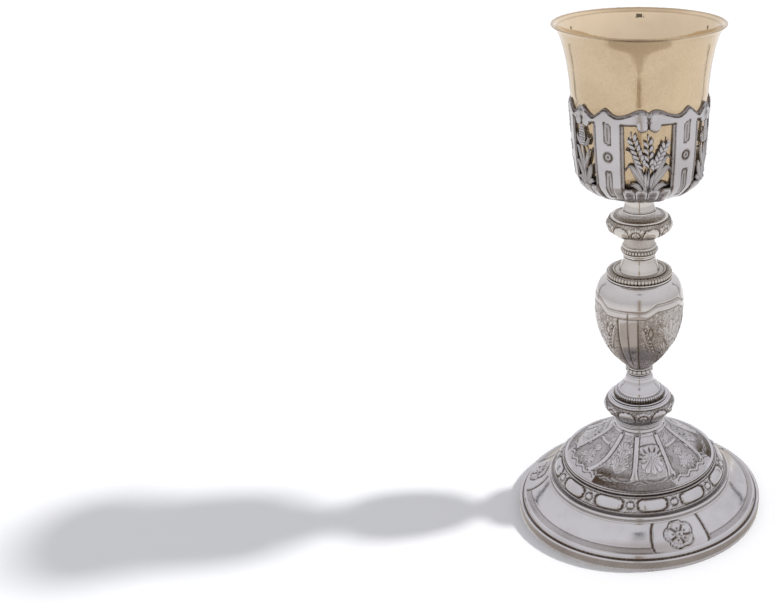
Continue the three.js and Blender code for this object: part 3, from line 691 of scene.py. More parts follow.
def carve_dome(carving):
    dome = carving.between("dome_low", "dome_high")
    run = carving.run_from("dome_low")
    share = carving.share("dome_low", "dome_high")
    length = carving.length("dome_low", "dome_high")
    azimuth = carving.away(14, PANELS) + 14
    across = carving.arc(azimuth)
    # The ground is engraved with curling lines, and darkened in the oxide tone towards the foot
    # of the dome, most round the front left, as a painted reflection of the dark calyx and cup
    # above it
    carving.scrollwork(dome, across, run, 5.2, 0.12, 0.45)
    front = unit(1 - np.abs(azimuth - PAINTED_REFLECTION_AZIMUTH) / 34) ** 0.5
    carving.darken(dome, (0.6 + 0.4 * front) * fade(run, 11.5, 6))
    carving.darken(dome, 0.15)
    border = 5.6 + 1.5 * np.abs(np.sin(np.radians(azimuth * 6)))
    for offset in (0, 0.9, 1.8):
        carving.cut(dome & (run < 10), run - border + offset, 0.26, 0.12, 0.8)
        light = fade(run - border + offset + 0.45, 0.22) * (run < 10)
        carving.dark = np.where(dome, carving.dark * (1 - 0.75 * light), carving.dark)
    # Between the ribs: a shell with pierced-looking cuts, and punched leafage
    wedge = dome & (azimuth > -4.5) & (azimuth < 38 - 9 * (1 - share)) & (run > 7)
    carving.lighten(wedge)
    shell_across = carving.arc(azimuth - SHELL_AZIMUTH)
    shell_run = run - SHELL_RUN
    distance = np.hypot(shell_across, shell_run)
    turn = np.degrees(np.arctan2(shell_across, shell_run))
    ray = turn / 26 - np.round(turn / 26)
    fan = wedge & (np.abs(turn) < 98) & (distance < 10.5)
    carving.raise_by(fan & (distance < 9.8), 0.7 * np.sqrt(unit(1 - (2 * ray) ** 2)))
    slot = np.hypot(ray * distance * 0.42, (distance - 6.6) / 3.0)
    carving.darken(fan, fade(slot, 0.62, 4))
    carving.add(fan, -0.5 * fade(slot, 0.62, 4))
    carving.cut(wedge & (shell_run > -2), distance - 10.2, 0.3, 0.15, 0.6)
    palm = wedge & (shell_run < 1)
    carving.leaf_fan(palm, shell_across, SHELL_RUN + 1.5 - run, 0, 10.5, 62, 5, 0.6)
    leafage = dome & (azimuth < -4.5) & (azimuth > -40 - 20 * (1 - share) ** 4) & (run > 9)
    carving.roughen(leafage, 1)
    leaf_across = carving.arc(azimuth + 22)
    for place, aim in ((9, 0), (13, 42), (13, -42), (18, 0), (23, 30), (23, -30)):
        carving.leaf_fan(leafage, leaf_across, run - place, aim, 6.5, 55, 5, 0.55)
    # The cartouche, with its scalloped frame and a spray of leaves
    side = azimuth - CARTOUCHE_AZIMUTH + np.where(azimuth < -40, 120, 0)
    side = carving.arc(side)
    level = (run - CARTOUCHE_RUN) / CARTOUCHE_LENGTH
    scallop = 1.5 * np.cos(level * math.pi * 5)
    half = CARTOUCHE_HALF_WIDTH + scallop - 9.5 * unit(level) ** 1.5
    margin = dome & (np.abs(side) < 19) & (run < 4.4)
    carving.lighten(margin)
    inside = dome & (level > 0) & (level < 1) & (np.abs(side) < half)
    carving.clear(inside)
    carving.roughen(inside, 0.7)
    carving.darken(inside, 0.34)
    for place, aim, reach in ((8, 0, 9), (8, 62, 7), (8, -62, 7), (14.5, 0, 7), (8, 180, 3.6)):
        carving.leaf_fan(inside, side, run - place, aim, reach, 40, 5, 0.6)
    frame_line = dome & (level > -0.03) & (level < 1.03)
    carving.ridge(frame_line, np.abs(side) - half, 0.7, 0.45, 0.34)
    carving.cut(inside, np.abs(side) - half + 2.4, 0.3, 0.1, 0.7)
    ends = dome & (np.abs(side) < half + 0.7)
    wave_end = run - CARTOUCHE_RUN + 0.9 * np.cos(side * 0.75)
    carving.ridge(ends, wave_end, 0.6, 0.45, 0.34)
    carving.cut(inside & (run > 5), wave_end - 2.2, 0.3, 0.1, 0.7)
    carving.ridge(ends, run - CARTOUCHE_RUN - CARTOUCHE_LENGTH, 0.6, 0.45, 0.3)
    # The ribs, which widen to a foot
    for start, swing, power, width, foot in (
        (-4.5, 0, 1, 1.3, 6), (-40, -20, 4, 1.15, 5), (38, -9, 1, 1.15, 7),
    ):
        centre = start + swing * (1 - share) ** power
        bend = azimuth - centre
        bend = bend - np.round(bend / 120) * 120
        wide = width * (1 + 1.1 * unit(1 - (run - foot) / 7) ** 2)
        rib = dome & (run > foot)
        carving.ridge(rib, carving.arc(bend), wide, 0.95)
    carving.ridge(dome, run - length + 1.2, 0.6, 0.3, 0.25)


def carve_foot(carving):
    radius, height = carving.radius, carving.height
    outside = carving.row > carving.marks["wall_top"]
    carving.darken(outside & (radius > 69.9) & (radius < 70.7), 1.0)
    carving.darken((radius > 71.8) & (height < 6), 0.36)
    carving.darken(outside & (np.abs(height - 20.3) < 0.35) & (radius < 54), 0.55)
    carving.darken(outside & (np.abs(height - 22.4) < 0.4) & (radius > 50.7), 0.6)
    carving.darken(outside & (np.abs(radius - 44.5) < 0.3), 0.9)
    carve_apron(carving)
    carve_band(carving)
    carve_dome(carving)
    dark_part = carving.row < carving.marks["wall_top"] - 12
    carving.darken(dark_part, 0.25)


# Stem pieces

def carve_bars(carving, low, high, start, angle, boss_radius, half_height):
    torus = carving.between(low, high)
    share = carving.share(low, high)
    along = (share - BAR_LEVEL) * carving.length(low, high)
    motif = carving.across(start + 30, KNOP_MOTIFS)
    carving.roughen(torus, 0.9)
    widest = carving.radius.max()
    around = np.radians(carving.azimuth) * widest
    carving.scrollwork(torus, around, along, 2.6, 0.25, 0.8)
    carving.darken(torus, 0.38)
    for side in (-1, 1):
        for aim, spread, reach in ((38, 36, 5.4), (142, 36, 5.4), (90, 20, 4.2)):
            root = motif - side * 0.6
            carving.leaf_fan(torus, root, along, side * aim, reach, spread, 3, 0.45)
    for aim in (0, 180):
        carving.leaf_fan(torus, motif, along, aim, half_height + 1.2, 22, 3, 0.5)
    boss = np.hypot(motif, along - 0.9)
    carving.oval(torus, boss, 0 * boss, boss_radius, boss_radius, 1.1)
    ring = np.abs(boss - boss_radius * 0.55)
    carving.cut(torus & (boss < boss_radius), ring, 0.3, 0.15, 0.6)
    half = math.radians(angle / 2) * widest
    bars = carving.across(start, KNOP_MOTIFS)
    carving.oval(torus, bars, along, half, half_height, 1.0, 2.8, 4.0)


def lower_knop_outline():
    outline = Outline(0, LOWER_KNOP_SEAT)
    outline.line(14.3, LOWER_KNOP_SEAT, 3.5).line(14.3, 54.2, 0.4)
    outline.bow(14.0, 55.8, -0.12, 0.4).line(14.2, 56.0, 0.3)
    outline.bow(14.2, 56.8, 0.45, 0.25).bow(13.9, 57.6, 0.45, 0.25)
    outline.bow(13.7, 58.3, 0.4, 0.25).line(13.9, 58.4, 0.3).mark("torus_low")
    outline.through([
        (15.0, 60), (16.5, 62), (18.2, 64), (19.4, 66), (19.8, 68), (18.9, 70),
    ], 0.42).mark("torus_high")
    outline.line(18.2, 70.5, 0.4).bow(17.2, 71.6, 0.35, 0.25).line(17.0, 72.2, 0.4)
    outline.line(0, LOWER_KNOP_TOP, 4)
    return outline


def carve_lower_knop(carving):
    carve_bars(carving, "torus_low", "torus_high", LOWER_BAR_START, LOWER_BAR_ANGLE, 2.2, 4.4)
    carving.darken(np.abs(carving.height - 55.9) < 0.2, 0.8)
    carving.darken(np.abs(carving.height - 70.45) < 0.25, 0.9)


def lower_bell_outline():
    outline = Outline(0, LOWER_BELL_SEAT)
    outline.line(16.2, LOWER_BELL_SEAT, 4).bow(15.6, 73.0, 0.4, 0.2)
    outline.line(14.4, 73.1, 0.4).mark("reed_low")
    outline.bow(12.4, 75.7, 0.28, 0.25).mark("reed_high")
    outline.line(12.2, 75.9, 0.3)
    outline.through([
        (11.9, 77.2), (10.6, 79.2), (8.9, 81), (8.1, 83), (7.7, 84.6), (7.2, 85.4),
    ], 0.5)
    outline.line(6.9, 85.7, 0.3).bow(6.9, LOWER_BELL_TOP, 0.4, 0.2)
    outline.line(0, LOWER_BELL_TOP, 3)
    return outline


def carve_lower_bell(carving):
    reeds = carving.between("reed_low", "reed_high")
    wave = np.abs(np.cos(np.radians(carving.azimuth * 30)))
    carving.add(reeds, 0.45 * wave - 0.2)
    carving.darken(reeds, unit(1 - 1.7 * wave))
    carving.darken((carving.row > 4) & (np.abs(carving.radius - 14.6) < 0.4), 0.9)
    carving.darken(np.abs(carving.height - 85.6) < 0.2, 0.6)


def vase_outline():
    outline = Outline(0, VASE_SEAT)
    outline.line(6.6, VASE_SEAT, 2.5).bow(6.6, 87.7, 0.4, 0.2).mark("beads_low")
    outline.bow(6.7, 90.1, 0.5, 0.2).mark("beads_high")
    outline.bow(6.9, 91.0, 0.4, 0.2).mark("body_low")
    outline.through([
        (7.7, 92), (9.67, 94), (11.62, 96), (14.92, 100), (17.63, 104), (19.78, 108),
        (21.5, 112), (22.8, 116), (23.74, 120), (24.3, 124), (24.62, 128), (24.72, 132),
    ], 0.55).mark("belly")
    outline.through([
        (24.57, 136), (24.2, 138), (23.66, 140), (22.87, 142), (21.65, 144), (19.6, 146),
    ], 0.5).mark("body_high")
    outline.line(18.6, VASE_TOP, 0.4).line(0, VASE_TOP, 4)
    return outline


def carve_vase(carving):
    beads = carving.between("beads_low", "beads_high")
    bead = np.abs(np.cos(np.radians(carving.azimuth * 9)))
    carving.add(beads, 0.5 * bead - 0.35)
    carving.darken(beads, unit(1 - 1.8 * bead))
    body = carving.between("body_low", "body_high")
    rise = unit((34 - np.abs(carving.away(42, PANELS))) / 16)
    arch = ARCH_HEIGHT + ARCH_RISE * rise
    below = body & (carving.height < arch - 4.5) & (carving.height > 92)
    turn = carving.away(LEAFAGE_AZIMUTH, PANELS)
    across = carving.arc(turn)
    level = carving.height
    widened = across * (BELLY_RADIUS / np.maximum(carving.radius, 8)) ** 0.6
    carving.scrollwork(below, widened, level, 4.6, 0.12, 0.5)
    fall = np.abs(across) * 1.5 + (level - 92) * 0.9
    flow = np.abs(np.sin(fall * 1.15))
    carving.darken(below & (np.abs(turn) < 22), 0.4 * (1 - flow) ** 2)
    for place, aim, length, spread in (
        (111, 0, 17, 34), (117, 48, 11, 26), (117, -48, 11, 26), (104, 28, 11, 24),
        (104, -28, 11, 24), (97, 0, 12, 24), (128, 100, 8, 26), (128, -100, 8, 26),
    ):
        carving.leaf_fan(below, across, level - place, aim, length, spread, 5, 0.45)
    for side in (-1, 1):
        centre = carving.arc(turn - side * 30)
        carving.leaf_fan(below, centre, level - 108, side * 8, 20, 14, 3, 0.4)
        lozenge = np.abs(centre) / 1.7 + np.abs(level - 121) / 4.2
        carving.clear(below & (lozenge < 1))
        carving.cut(below, (lozenge - 1) * 1.6, 0.4, 0.2, 0.9)
        for step in range(7):
            bead = np.hypot(centre + side * (step * 0.9 - 3), level - 124 + step * 2.6)
            carving.oval(below & (bead < 1.3), bead, 0 * bead, 0.75, 0.75, 0.4)
    carving.dark = np.where(below, 0.85 * carving.dark + 0.12, carving.dark)
    strip = carving.across(STRIP_AZIMUTH, PANELS)
    half = math.radians(12.5) * carving.radius
    inside = below & (np.abs(strip) < half)
    carving.clear(inside)
    carving.raise_by(inside, 0.2)
    carving.cut(below, np.abs(strip) - half - 0.35, 0.42, 0.3, 0.95)
    carving.cut(body & (level < 134) & (level > 97), strip, 0.36, 0.2, 0.85)
    for offset, tone in ((0, 0.85), (-1.0, 0.4), (-4.5, 0.85)):
        carving.cut(body, level - arch - offset, 0.3, 0.18, tone)
    carving.darken(body & (carving.height < 93), 0.5)


def upper_bell_outline():
    outline = Outline(0, UPPER_BELL_SEAT)
    outline.line(18.4, UPPER_BELL_SEAT, 4).bow(18.0, 147.6, 0.4, 0.2).line(17.6, 147.6, 0.3)
    outline.mark("beads_low").bow(15.3, 150.3, 0.5, 0.2).mark("beads_high")
    outline.line(14.9, 150.3, 0.3).bow(14.1, 150.9, 0.4, 0.2).line(13.7, 150.6, 0.3)
    outline.line(11.4, 150.6, 0.3).mark("ledge")
    outline.through([(11.1, 151.2), (10.7, 152.6), (9.8, 154.8), (9.0, 156.8), (8.7, 157.8)], 0.5)
    outline.bow(8.4, UPPER_BELL_TOP, 0.35, 0.2).line(0, UPPER_BELL_TOP, 3)
    return outline


def carve_beads(carving, low, high, count, depth):
    beads = carving.between(low, high)
    bead = np.abs(np.cos(np.radians(carving.azimuth * count / 2)))
    carving.add(beads, depth * (np.sqrt(bead) - 1))
    carving.darken(beads, np.clip(1.05 - 1.9 * bead, 0.2, 1))


def carve_upper_bell(carving):
    carve_beads(carving, "beads_low", "beads_high", 58, 0.8)
    carving.darken((carving.row > 5) & (np.abs(carving.radius - 17.7) < 0.15), 0.8)
    ledge = carving.between("beads_high", "ledge")
    carving.darken(ledge, 0.4)
    carving.darken(ledge & (np.abs(carving.radius - 13.6) < 0.3), 0.9)
    carving.darken(ledge & (carving.radius > 14.8), 0.9)


def upper_knop_outline():
    outline = Outline(0, UPPER_KNOP_SEAT)
    outline.line(8.4, UPPER_KNOP_SEAT, 3).line(8.5, 159.8, 0.4).bow(8.9, 161.1, 0.45, 0.2)
    outline.line(9.2, 161.3, 0.2).mark("beads_low").bow(9.2, 163.9, 0.45, 0.2).mark("beads_high")
    outline.line(9.0, 164.1, 0.2).bow(9.0, 165.4, 0.45, 0.2)
    outline.mark("spool_low").through([(8.6, 166.4), (8.45, 168.4), (8.6, 170.8)], 0.5)
    outline.mark("torus_low")
    outline.through([
        (10.8, 171.3), (13.4, 172.5), (15.7, 174.4), (17.1, 176.4), (17.5, 178.2), (17.1, 180),
        (16.3, 181.2),
    ], 0.42).mark("torus_high")
    outline.line(15.7, 181.4, 0.3).bow(14.5, 182.2, 0.4, 0.2).line(14.1, 181.9, 0.3)
    outline.mark("flutes_low")
    outline.through([(12.2, 182.1), (10.6, 183.0), (9.4, 184.4)], 0.35).mark("flutes_high")
    outline.line(9.1, UPPER_KNOP_TOP, 0.2).line(0, UPPER_KNOP_TOP, 3)
    return outline


def carve_upper_knop(carving):
    carve_beads(carving, "beads_low", "beads_high", 36, 0.8)
    carve_bars(carving, "torus_low", "torus_high", UPPER_BAR_START, UPPER_BAR_ANGLE, 2.0, 4.3)
    flutes = carving.between("flutes_low", "flutes_high")
    wave = np.abs(np.cos(np.radians(carving.azimuth * 36)))
    carving.add(flutes, 0.25 * wave - 0.2)
    carving.darken(flutes, unit(0.6 - 1.4 * wave))
    carving.roughen(flutes, 1)
    spool = carving.between("spool_low", "torus_low")
    carving.roughen(spool, 1)
    carving.darken(spool, 0.34 + 0.3 * (0.5 - wave))
    carving.darken((carving.radius > 15.6) & (np.abs(carving.height - 181.3) < 0.2), 0.9)
    carving.darken((np.abs(carving.height - 161.2) < 0.15) & (carving.radius > 8), 0.8)


def neck_outline():
    outline = Outline(0, NECK_SEAT)
    outline.line(8.9, NECK_SEAT, 3)
    outline.through([(8.5, 187), (8.05, 189), (7.8, 191), (7.8, 192.4), (8.1, 193)], 0.5)
    outline.bow(8.2, NECK_TOP, 0.4, 0.25).line(0, NECK_TOP, 3)
    return outline


def carve_neck(carving):
    carving.darken((np.abs(carving.height - 185.8) < 0.3) & (carving.radius > 7), 0.5)


# Cup

def cup_outline():
    inner = CALYX_BAND_RADIUS - CALYX_WALL - 0.3
    outline = Outline(0, CUP_SEAT)
    outline.line(13.5, CUP_SEAT, 3)
    outline.through([(20.5, 198.0), (27.5, 202.6), (31.4, 207.6), (33.1, 212.2)], 2)
    outline.line(inner, 242, 2).line(inner, 248.1, 1.5)
    outline.through([
        (35.78, 250), (36.05, 254), (36.4, 258), (36.86, 262), (37.43, 266), (38.19, 270),
        (39.1, 274), (40.2, 278), (41.5, 281), (42.6, 283),
    ], 0.9)
    outline.through([(43.6, 283.9), (44.4, 284.1)], 0.35).mark("lip_low")
    outline.bow(44.1, CUP_TOP - 0.05, 0.5, 0.15).line(43.5, 284.7, 0.3).mark("lip_high")
    outline.through([
        (41.7, 283.2), (40.3, 281), (39, 278), (37.9, 274), (37.0, 270), (36.25, 266),
        (35.65, 262), (35.2, 258), (34.85, 254), (34.6, 250),
    ], 0.9)
    outline.line(34.25, 246, 2).line(34.2, 242, 2).line(32.0, 213, 2.5)
    outline.through([(30.4, 208.4), (26.7, 203.7), (20.2, 199.3), (13.4, 197.4)], 2)
    outline.line(0, CUP_SEAT + 1.2, 3)
    return outline


def carve_cup(carving):
    lip = carving.between("lip_low", "lip_high")
    carving.darken(lip, 0.55)
    # A painted shadow line just under the lip.
    carving.darken(np.abs(carving.height - 283.3) < 0.3, 0.4)
    inside = carving.row > carving.marks["lip_high"]
    satin = unit((264 - carving.height) / 18)
    carving.roughen(inside, satin)
    outside = carving.row < carving.marks["lip_low"]
    # The outside is a little darker all over, and darker still below the calyx's edge, a painted
    # shade where the calyx covers the cup.
    carving.darken(outside, 0.3)
    carving.darken(outside & (carving.height < 248), 0.4)


# Calyx

def calyx_outline():
    """Nominal rows. The band's rows are moved to the sill, the heads and the edge later."""
    outline = Outline(14, CALYX_SEAT)
    outline.through([
        (20.6, 196.2), (25.6, 198.2), (28.6, 200.4), (31.1, 202.9), (33, 205.2), (34.2, SILL),
    ], 0.75).mark("sill")
    outline.line(36.5, 238, 0.68).mark("head")
    outline.line(36.65, 246, 0.62).mark("edge")
    return outline


def stop_curve(stops, turn):
    curve = np.array(smooth_curve(stops, 0.4))
    return np.interp(np.abs(turn), curve[:, 0], curve[:, 1])


def band_radius(height):
    """The outside of the calyx band at a height."""
    heights = [SILL, 210, 213, 216, 220, 228, 234, 242, 250]
    return np.interp(height, heights, [34.2, 34.4, 34.7, 35.1, 35.5, 36.0, 36.3, 36.62, 36.5])


def shape_calyx(carving):
    turn = carving.away(WHEAT_AZIMUTH, PANELS)
    head = stop_curve(HEAD_STOPS, turn)
    edge = stop_curve(EDGE_STOPS, turn)
    share = carving.share("sill", "head")
    window = carving.between("sill", "head")
    carving.height = np.where(window, SILL + (head - SILL) * share, carving.height)
    top = carving.share("head", "edge")
    rim = carving.between("head", "edge")
    carving.height = np.where(rim, head + (edge - head) * unit(top), carving.height)
    raised = carving.height > SILL
    carving.radius = np.where(raised, band_radius(carving.height), carving.radius)
    return turn, head, edge


def carve_calyx(carving):
    turn, head, edge = shape_calyx(carving)
    size = np.abs(turn)
    height = carving.height
    wheat = size < WHEAT_HALF_ANGLE
    reed = size > 60 - REED_HALF_ANGLE
    bowl = height <= SILL
    rim = carving.between("head", "edge")
    # Gadroons run up the bowl to the sill
    period = np.where(wheat, 11.25, 10.0)
    phase = np.where(reed, (60 - size) / period, size / period - 0.5)
    part = phase - np.round(phase)
    crown = unit((SILL - 0.4 - height) / 2.6)
    width = 0.47 * np.sqrt(unit(1 - (1 - crown) ** 2.6)) + 1e-3
    tongue = bowl & (np.abs(part) < width) & (wheat | reed)
    full = unit(1 - np.abs(part / width) ** 2.6)
    carving.raise_by(tongue, np.sqrt(full) * (0.35 + 0.65 * unit((height - 197) / 5)))
    gap = bowl & (wheat | reed) & ~tongue
    carving.darken(gap & (height > 196), 0.85)
    carving.darken(tongue & (height > 203.5) & (height < 206), 0.3 * fade(part, 0.16))
    # Pilasters with two slots and a roundel between them
    post = ~wheat & ~reed
    side = np.sign(turn)
    across = np.radians(turn - side * POST_AZIMUTH) * np.maximum(carving.radius, 20)
    for low, high, half_width in ((200.5, 216.5, 2.2), (230.3, 241.6, 2.3)):
        slant = np.where(low > 220, 1.6, 0.0) * side * across / 2.3
        level = (height - (low + high) / 2 - slant * 0.5) / ((high - low) / 2)
        narrow = half_width * (1 - 0.18 * np.abs(level))
        reach = np.maximum(np.abs(across) / narrow, np.abs(level))
        slot = post & (reach < 1)
        carving.add(slot, -0.25)
        carving.darken(slot, 0.3)
        edge_line = np.minimum((1 - np.abs(across) / narrow) * narrow, (1 - np.abs(level)) * 5)
        carving.darken(slot, fade(edge_line, 0.75, 4))
        carving.darken(slot & (np.abs(level) < 0.68), fade(across, 0.42, 4))
    round_reach = np.hypot(across, height - ROUNDEL_HEIGHT)
    carving.cut(post, round_reach - 2.2, 0.6, 0.35, 1.0)
    carving.cut(post, round_reach, 0.7, 0.25, 1.0)
    for limit, sign in ((WHEAT_HALF_ANGLE, 1), (60 - REED_HALF_ANGLE, -1)):
        inset = carving.arc((size - limit) * sign)
        ledge = (inset < 0) & (inset > -1.6) & (height > SILL - 2) & (height < head + 0.4)
        carving.add(ledge, -0.25)
        carving.darken(ledge, 0.5)
        carving.cut((height > SILL - 7) & (height < head + 0.6), inset, 0.34, 0.2, 1.0)
    # The flat scrolled band, with a darker fillet along its edge
    depth = edge - height
    fillet = rim & (depth < 1.25)
    carving.add(fillet, -0.3)
    carving.darken(fillet, 0.66)
    carving.cut(rim | post, depth - 1.35, 0.26, 0.2, 1.0)
    carving.cut(rim, depth, 0.3, 0.1, 0.6)
    carving.raise_by(rim & ~fillet, 0.25)
    lower = rim & ~post
    carving.cut(lower, height - head - 0.3, 0.5, 0.3, 1.0)
    # The curls that meet over the openings, and the leafy crest
    for place, level, reach_mm in ((4.9, 240.3, 2.75), (55.4, 240.2, 2.4)):
        curl = carving.arc(size - place)
        reach = np.hypot(curl, height - level)
        spot = rim & (reach < reach_mm)
        carving.clear(spot)
        carving.raise_by(spot, 0.25 + 0.2 * unit(1 - (reach / reach_mm) ** 2))
        outer = rim & (reach >= reach_mm) & (depth > 1.5)
        inner = outer & ((height < level + 0.8) | (size < 2) | (size > 58))
        carving.cut(inner, reach - reach_mm - 0.25, 0.5, 0.4, 1.0)
    seam = carving.arc(np.minimum(size, 60 - size))
    flare = 0.55 + 0.5 * unit(np.abs(height - 241.6) / 3.4) ** 2
    carving.darken(rim & (depth > 1.0), fade(seam, flare, 4))
    carving.add(rim & (depth > 1.0), -0.5 * fade(seam, flare, 4))
    crest = carving.arc(60 - size) * -np.sign(turn)
    carving.leaf_fan(rim & reed, crest, height - 242.4, 0, 6.2, 40, 5, 0.5)
    crest = carving.arc(turn)
    carving.leaf_fan(rim & wheat, crest, height - 244.4, 0, 3.6, 34, 3, 0.5)


def on_band(azimuth, height, lift=0.0):
    radius = float(band_radius(height)) + lift
    angle = math.radians(azimuth)
    return Vector((radius * math.sin(angle), -radius * math.cos(angle), height)) * MM


def add_grain(work, azimuth, height, lean, length, width):
    """One grain of an ear: a low oval lying on the band."""
    made = bmesh.ops.create_icosphere(work, subdivisions=1, radius=0.5)
    spot = on_band(azimuth, height, 0.15)
    turn = Matrix.Rotation(math.radians(azimuth), 4, "Z")
    tilt = Matrix.Rotation(math.radians(lean), 4, "Y")
    size = Matrix.Diagonal((width * MM, width * 0.8 * MM, length * MM, 1))
    bmesh.ops.transform(
        work, verts=made["verts"], matrix=Matrix.Translation(spot) @ turn @ tilt @ size,
    )


def add_leaf(work, path, width, ridge=0.5, sides=6):
    """A blade that follows a path on the band, with a raised midrib and real thickness."""
    places = smooth_curve(path, 1.1)
    rows = len(places) - 1
    made = bmesh.ops.create_grid(work, x_segments=sides, y_segments=rows, size=1.0)
    for vert in made["verts"]:
        side = vert.co.x
        share = (vert.co.y + 1) / 2
        index = min(rows, max(0, round(share * rows)))
        here = np.array(places[index])
        ahead = np.array(places[min(rows, index + 1)]) - np.array(places[max(0, index - 1)])
        run = np.array([math.radians(ahead[0]) * BAND_MEAN_RADIUS, ahead[1]])
        run = run / max(np.linalg.norm(run), 1e-6)
        spread = width * max(math.sin(math.pi * min(1, 0.12 + 0.9 * share)), 0.06) / 2
        shift_x, shift_y = run[1] * side * spread, -run[0] * side * spread
        lift = ridge * (1 - abs(side)) ** 0.7 + 0.12 * math.cos(side * math.pi * 3)
        azimuth = here[0] + math.degrees(shift_x / BAND_MEAN_RADIUS)
        vert.co = on_band(azimuth, here[1] + shift_y, lift - 0.1)
    faces = list({face for vert in made["verts"] for face in vert.link_faces})
    bmesh.ops.recalc_face_normals(work, faces=faces)
    middle = faces[len(faces) // 2]
    outward = Vector((middle.calc_center_median().x, middle.calc_center_median().y, 0))
    if middle.normal.dot(outward) < 0:
        bmesh.ops.reverse_faces(work, faces=faces)
    bmesh.ops.solidify(work, geom=faces, thickness=0.6 * MM)


def add_ear(work, path, grain=4.3):
    """A wheat ear: pairs of grains up a stalk, with one at the tip."""
    places = smooth_curve(path, 2.9)
    for index, (azimuth, height) in enumerate(places[:-1]):
        ahead = np.array(places[index + 1]) - np.array(places[index])
        lean = math.atan2(math.radians(ahead[0]) * BAND_MEAN_RADIUS, ahead[1])
        for side in (-1, 1):
            offset = side * 1.25
            shift = offset * math.cos(lean)
            rise = -offset * math.sin(lean) + (1.3 if side == 1 else 0)
            add_grain(
                work, azimuth + math.degrees(shift / BAND_MEAN_RADIUS), height + rise,
                math.degrees(lean) + side * 30, grain, 2.3,
            )
    add_grain(work, places[-1][0], places[-1][1], 0, grain * 0.9, 1.0)


def add_wheat_sheaf(work, centre):
    stalks = [
        [(2, 207), (-1, 213), (-1.5, 220.5)],
        [(4, 207), (4.4, 214), (4.4, 221.5)],
        [(6, 207), (8, 213), (9, 219)],
    ]
    ears = [
        [(-5.5, 220.5), (-10, 228), (-14.5, 236)],
        [(0.4, 221), (0, 228), (-0.4, 235)],
        [(5, 219), (10, 225.5), (15.5, 232.5)],
    ]
    leaves = [
        ([(-2, 208), (-8, 214), (-14.5, 220), (-19.5, 217.5)], 3.6),
        ([(-1, 208), (-7, 217), (-13, 226.5), (-18.5, 229)], 3.0),
        ([(3, 208), (9, 214), (16.5, 219), (21, 214.5)], 3.6),
        ([(2, 208), (9, 218), (15.5, 225), (20.5, 223)], 3.0),
        ([(-2.5, 206.5), (-2.5, 212), (-2, 218)], 3.8),
        ([(-5, 206.5), (-10, 209.5), (-16, 210)], 3.2),
        ([(4, 206.5), (11, 209.5), (18, 209.5)], 3.2),
        ([(2, 207), (3.5, 212.5), (6.5, 218)], 3.0),
    ]
    for path in stalks:
        shifted = [(centre + azimuth - 4 if height < 222 else centre + azimuth, height)
                   for azimuth, height in path]
        add_leaf(work, shifted, 1.5, 0.35, 4)
    for path in ears:
        add_ear(work, [(centre + azimuth, height) for azimuth, height in path])
    for path, width in leaves:
        add_leaf(work, [(centre + azimuth, height) for azimuth, height in path], width)


def add_reed_head(work, centre):
    add_leaf(work, [(centre, 206.8), (centre, 216), (centre, 229)], 1.8, 0.45, 4)
    for level in range(8):
        height = 228.3 + level * 1.35
        wide = 4.0 * math.sin(math.pi * (0.2 + 0.66 * level / 7))
        count = 5 if level % 2 else 4
        for index in range(count):
            shift = (index / (count - 1) - 0.5) * 2 * wide * 0.5
            azimuth = centre + math.degrees(shift / BAND_MEAN_RADIUS)
            add_grain(work, azimuth, height, shift * 9, 1.7, 1.25)
    for side in (-1, 1):
        for path, width in (
            ([(0.6, 207.5), (4.5, 212), (9, 217.5), (12.5, 218.5)], 3.8),
            ([(0.4, 214), (4, 220), (7.5, 225.5), (11.5, 226)], 2.8),
            ([(1.0, 227.5), (4.5, 228.5), (7.6, 231.5), (6.2, 233.6)], 2.4),
            ([(1.0, 206.8), (6, 209), (12.5, 209.6)], 3.2),
        ):
            add_leaf(work, [(centre + side * azimuth, height) for azimuth, height in path], width)


def make_plants():
    """A sheaf of wheat and a reed head, each set in its three openings."""
    work = bmesh.new()
    add_wheat_sheaf(work, WHEAT_AZIMUTH)
    add_reed_head(work, WHEAT_AZIMUTH + 60)
    first = work.verts[:] + work.edges[:] + work.faces[:]
    for index in range(1, PANELS):
        copy = bmesh.ops.duplicate(work, geom=first)
        verts = [part for part in copy["geom"] if isinstance(part, bmesh.types.BMVert)]
        turn = Matrix.Rotation(math.tau * index / PANELS, 3, "Z")
        bmesh.ops.rotate(work, verts=verts, cent=(0, 0, 0), matrix=turn)
    shade = work.verts.layers.float.new("dark")
    for vert in work.verts:
        height = vert.co.z / MM
        lift = math.hypot(vert.co.x, vert.co.y) / MM - float(band_radius(height))
        vert[shade] = 0.75 * min(1, max(0, (0.35 - lift) / 0.35))
    return mesh_from(work, "plants")


def make_calyx():
    outline = calyx_outline()
    mesh = mesh_from(spun(outline, CALYX_COLUMNS), "calyx")
    carving = Carving(mesh, outline)
    carve_calyx(carving)
    low, high = outline.marks["sill"], outline.marks["head"]
    carving.finish(mesh)
    work = bmesh.new()
    work.from_mesh(mesh)
    row = work.verts.layers.int["row"]
    gone = []
    for face in work.faces:
        rows = [vert[row] for vert in face.verts]
        if min(rows) < low or max(rows) > high:
            continue
        middle = face.calc_center_median()
        turn = math.degrees(math.atan2(middle.x, -middle.y)) - WHEAT_AZIMUTH
        turn = abs(turn - round(turn / 120) * 120)
        if turn < WHEAT_HALF_ANGLE - LEDGE_ANGLE or turn > 60 - REED_HALF_ANGLE + LEDGE_ANGLE:
            gone.append(face)
    bmesh.ops.delete(work, geom=gone, context="FACES")
    bmesh.ops.recalc_face_normals(work, faces=work.faces[:])
    probe = work.faces[0]
    middle = probe.calc_center_median()
    if probe.normal.dot(Vector((middle.x, middle.y, -0.01))) < 0:
        bmesh.ops.reverse_faces(work, faces=work.faces[:])
    bmesh.ops.solidify(work, geom=work.faces[:], thickness=CALYX_WALL * MM)
    plants = make_plants()
    work.from_mesh(plants)
    work.to_mesh(mesh)
    work.free()
    bpy.data.meshes.remove(plants)
    return add_piece("calyx", mesh, calyx_silver)


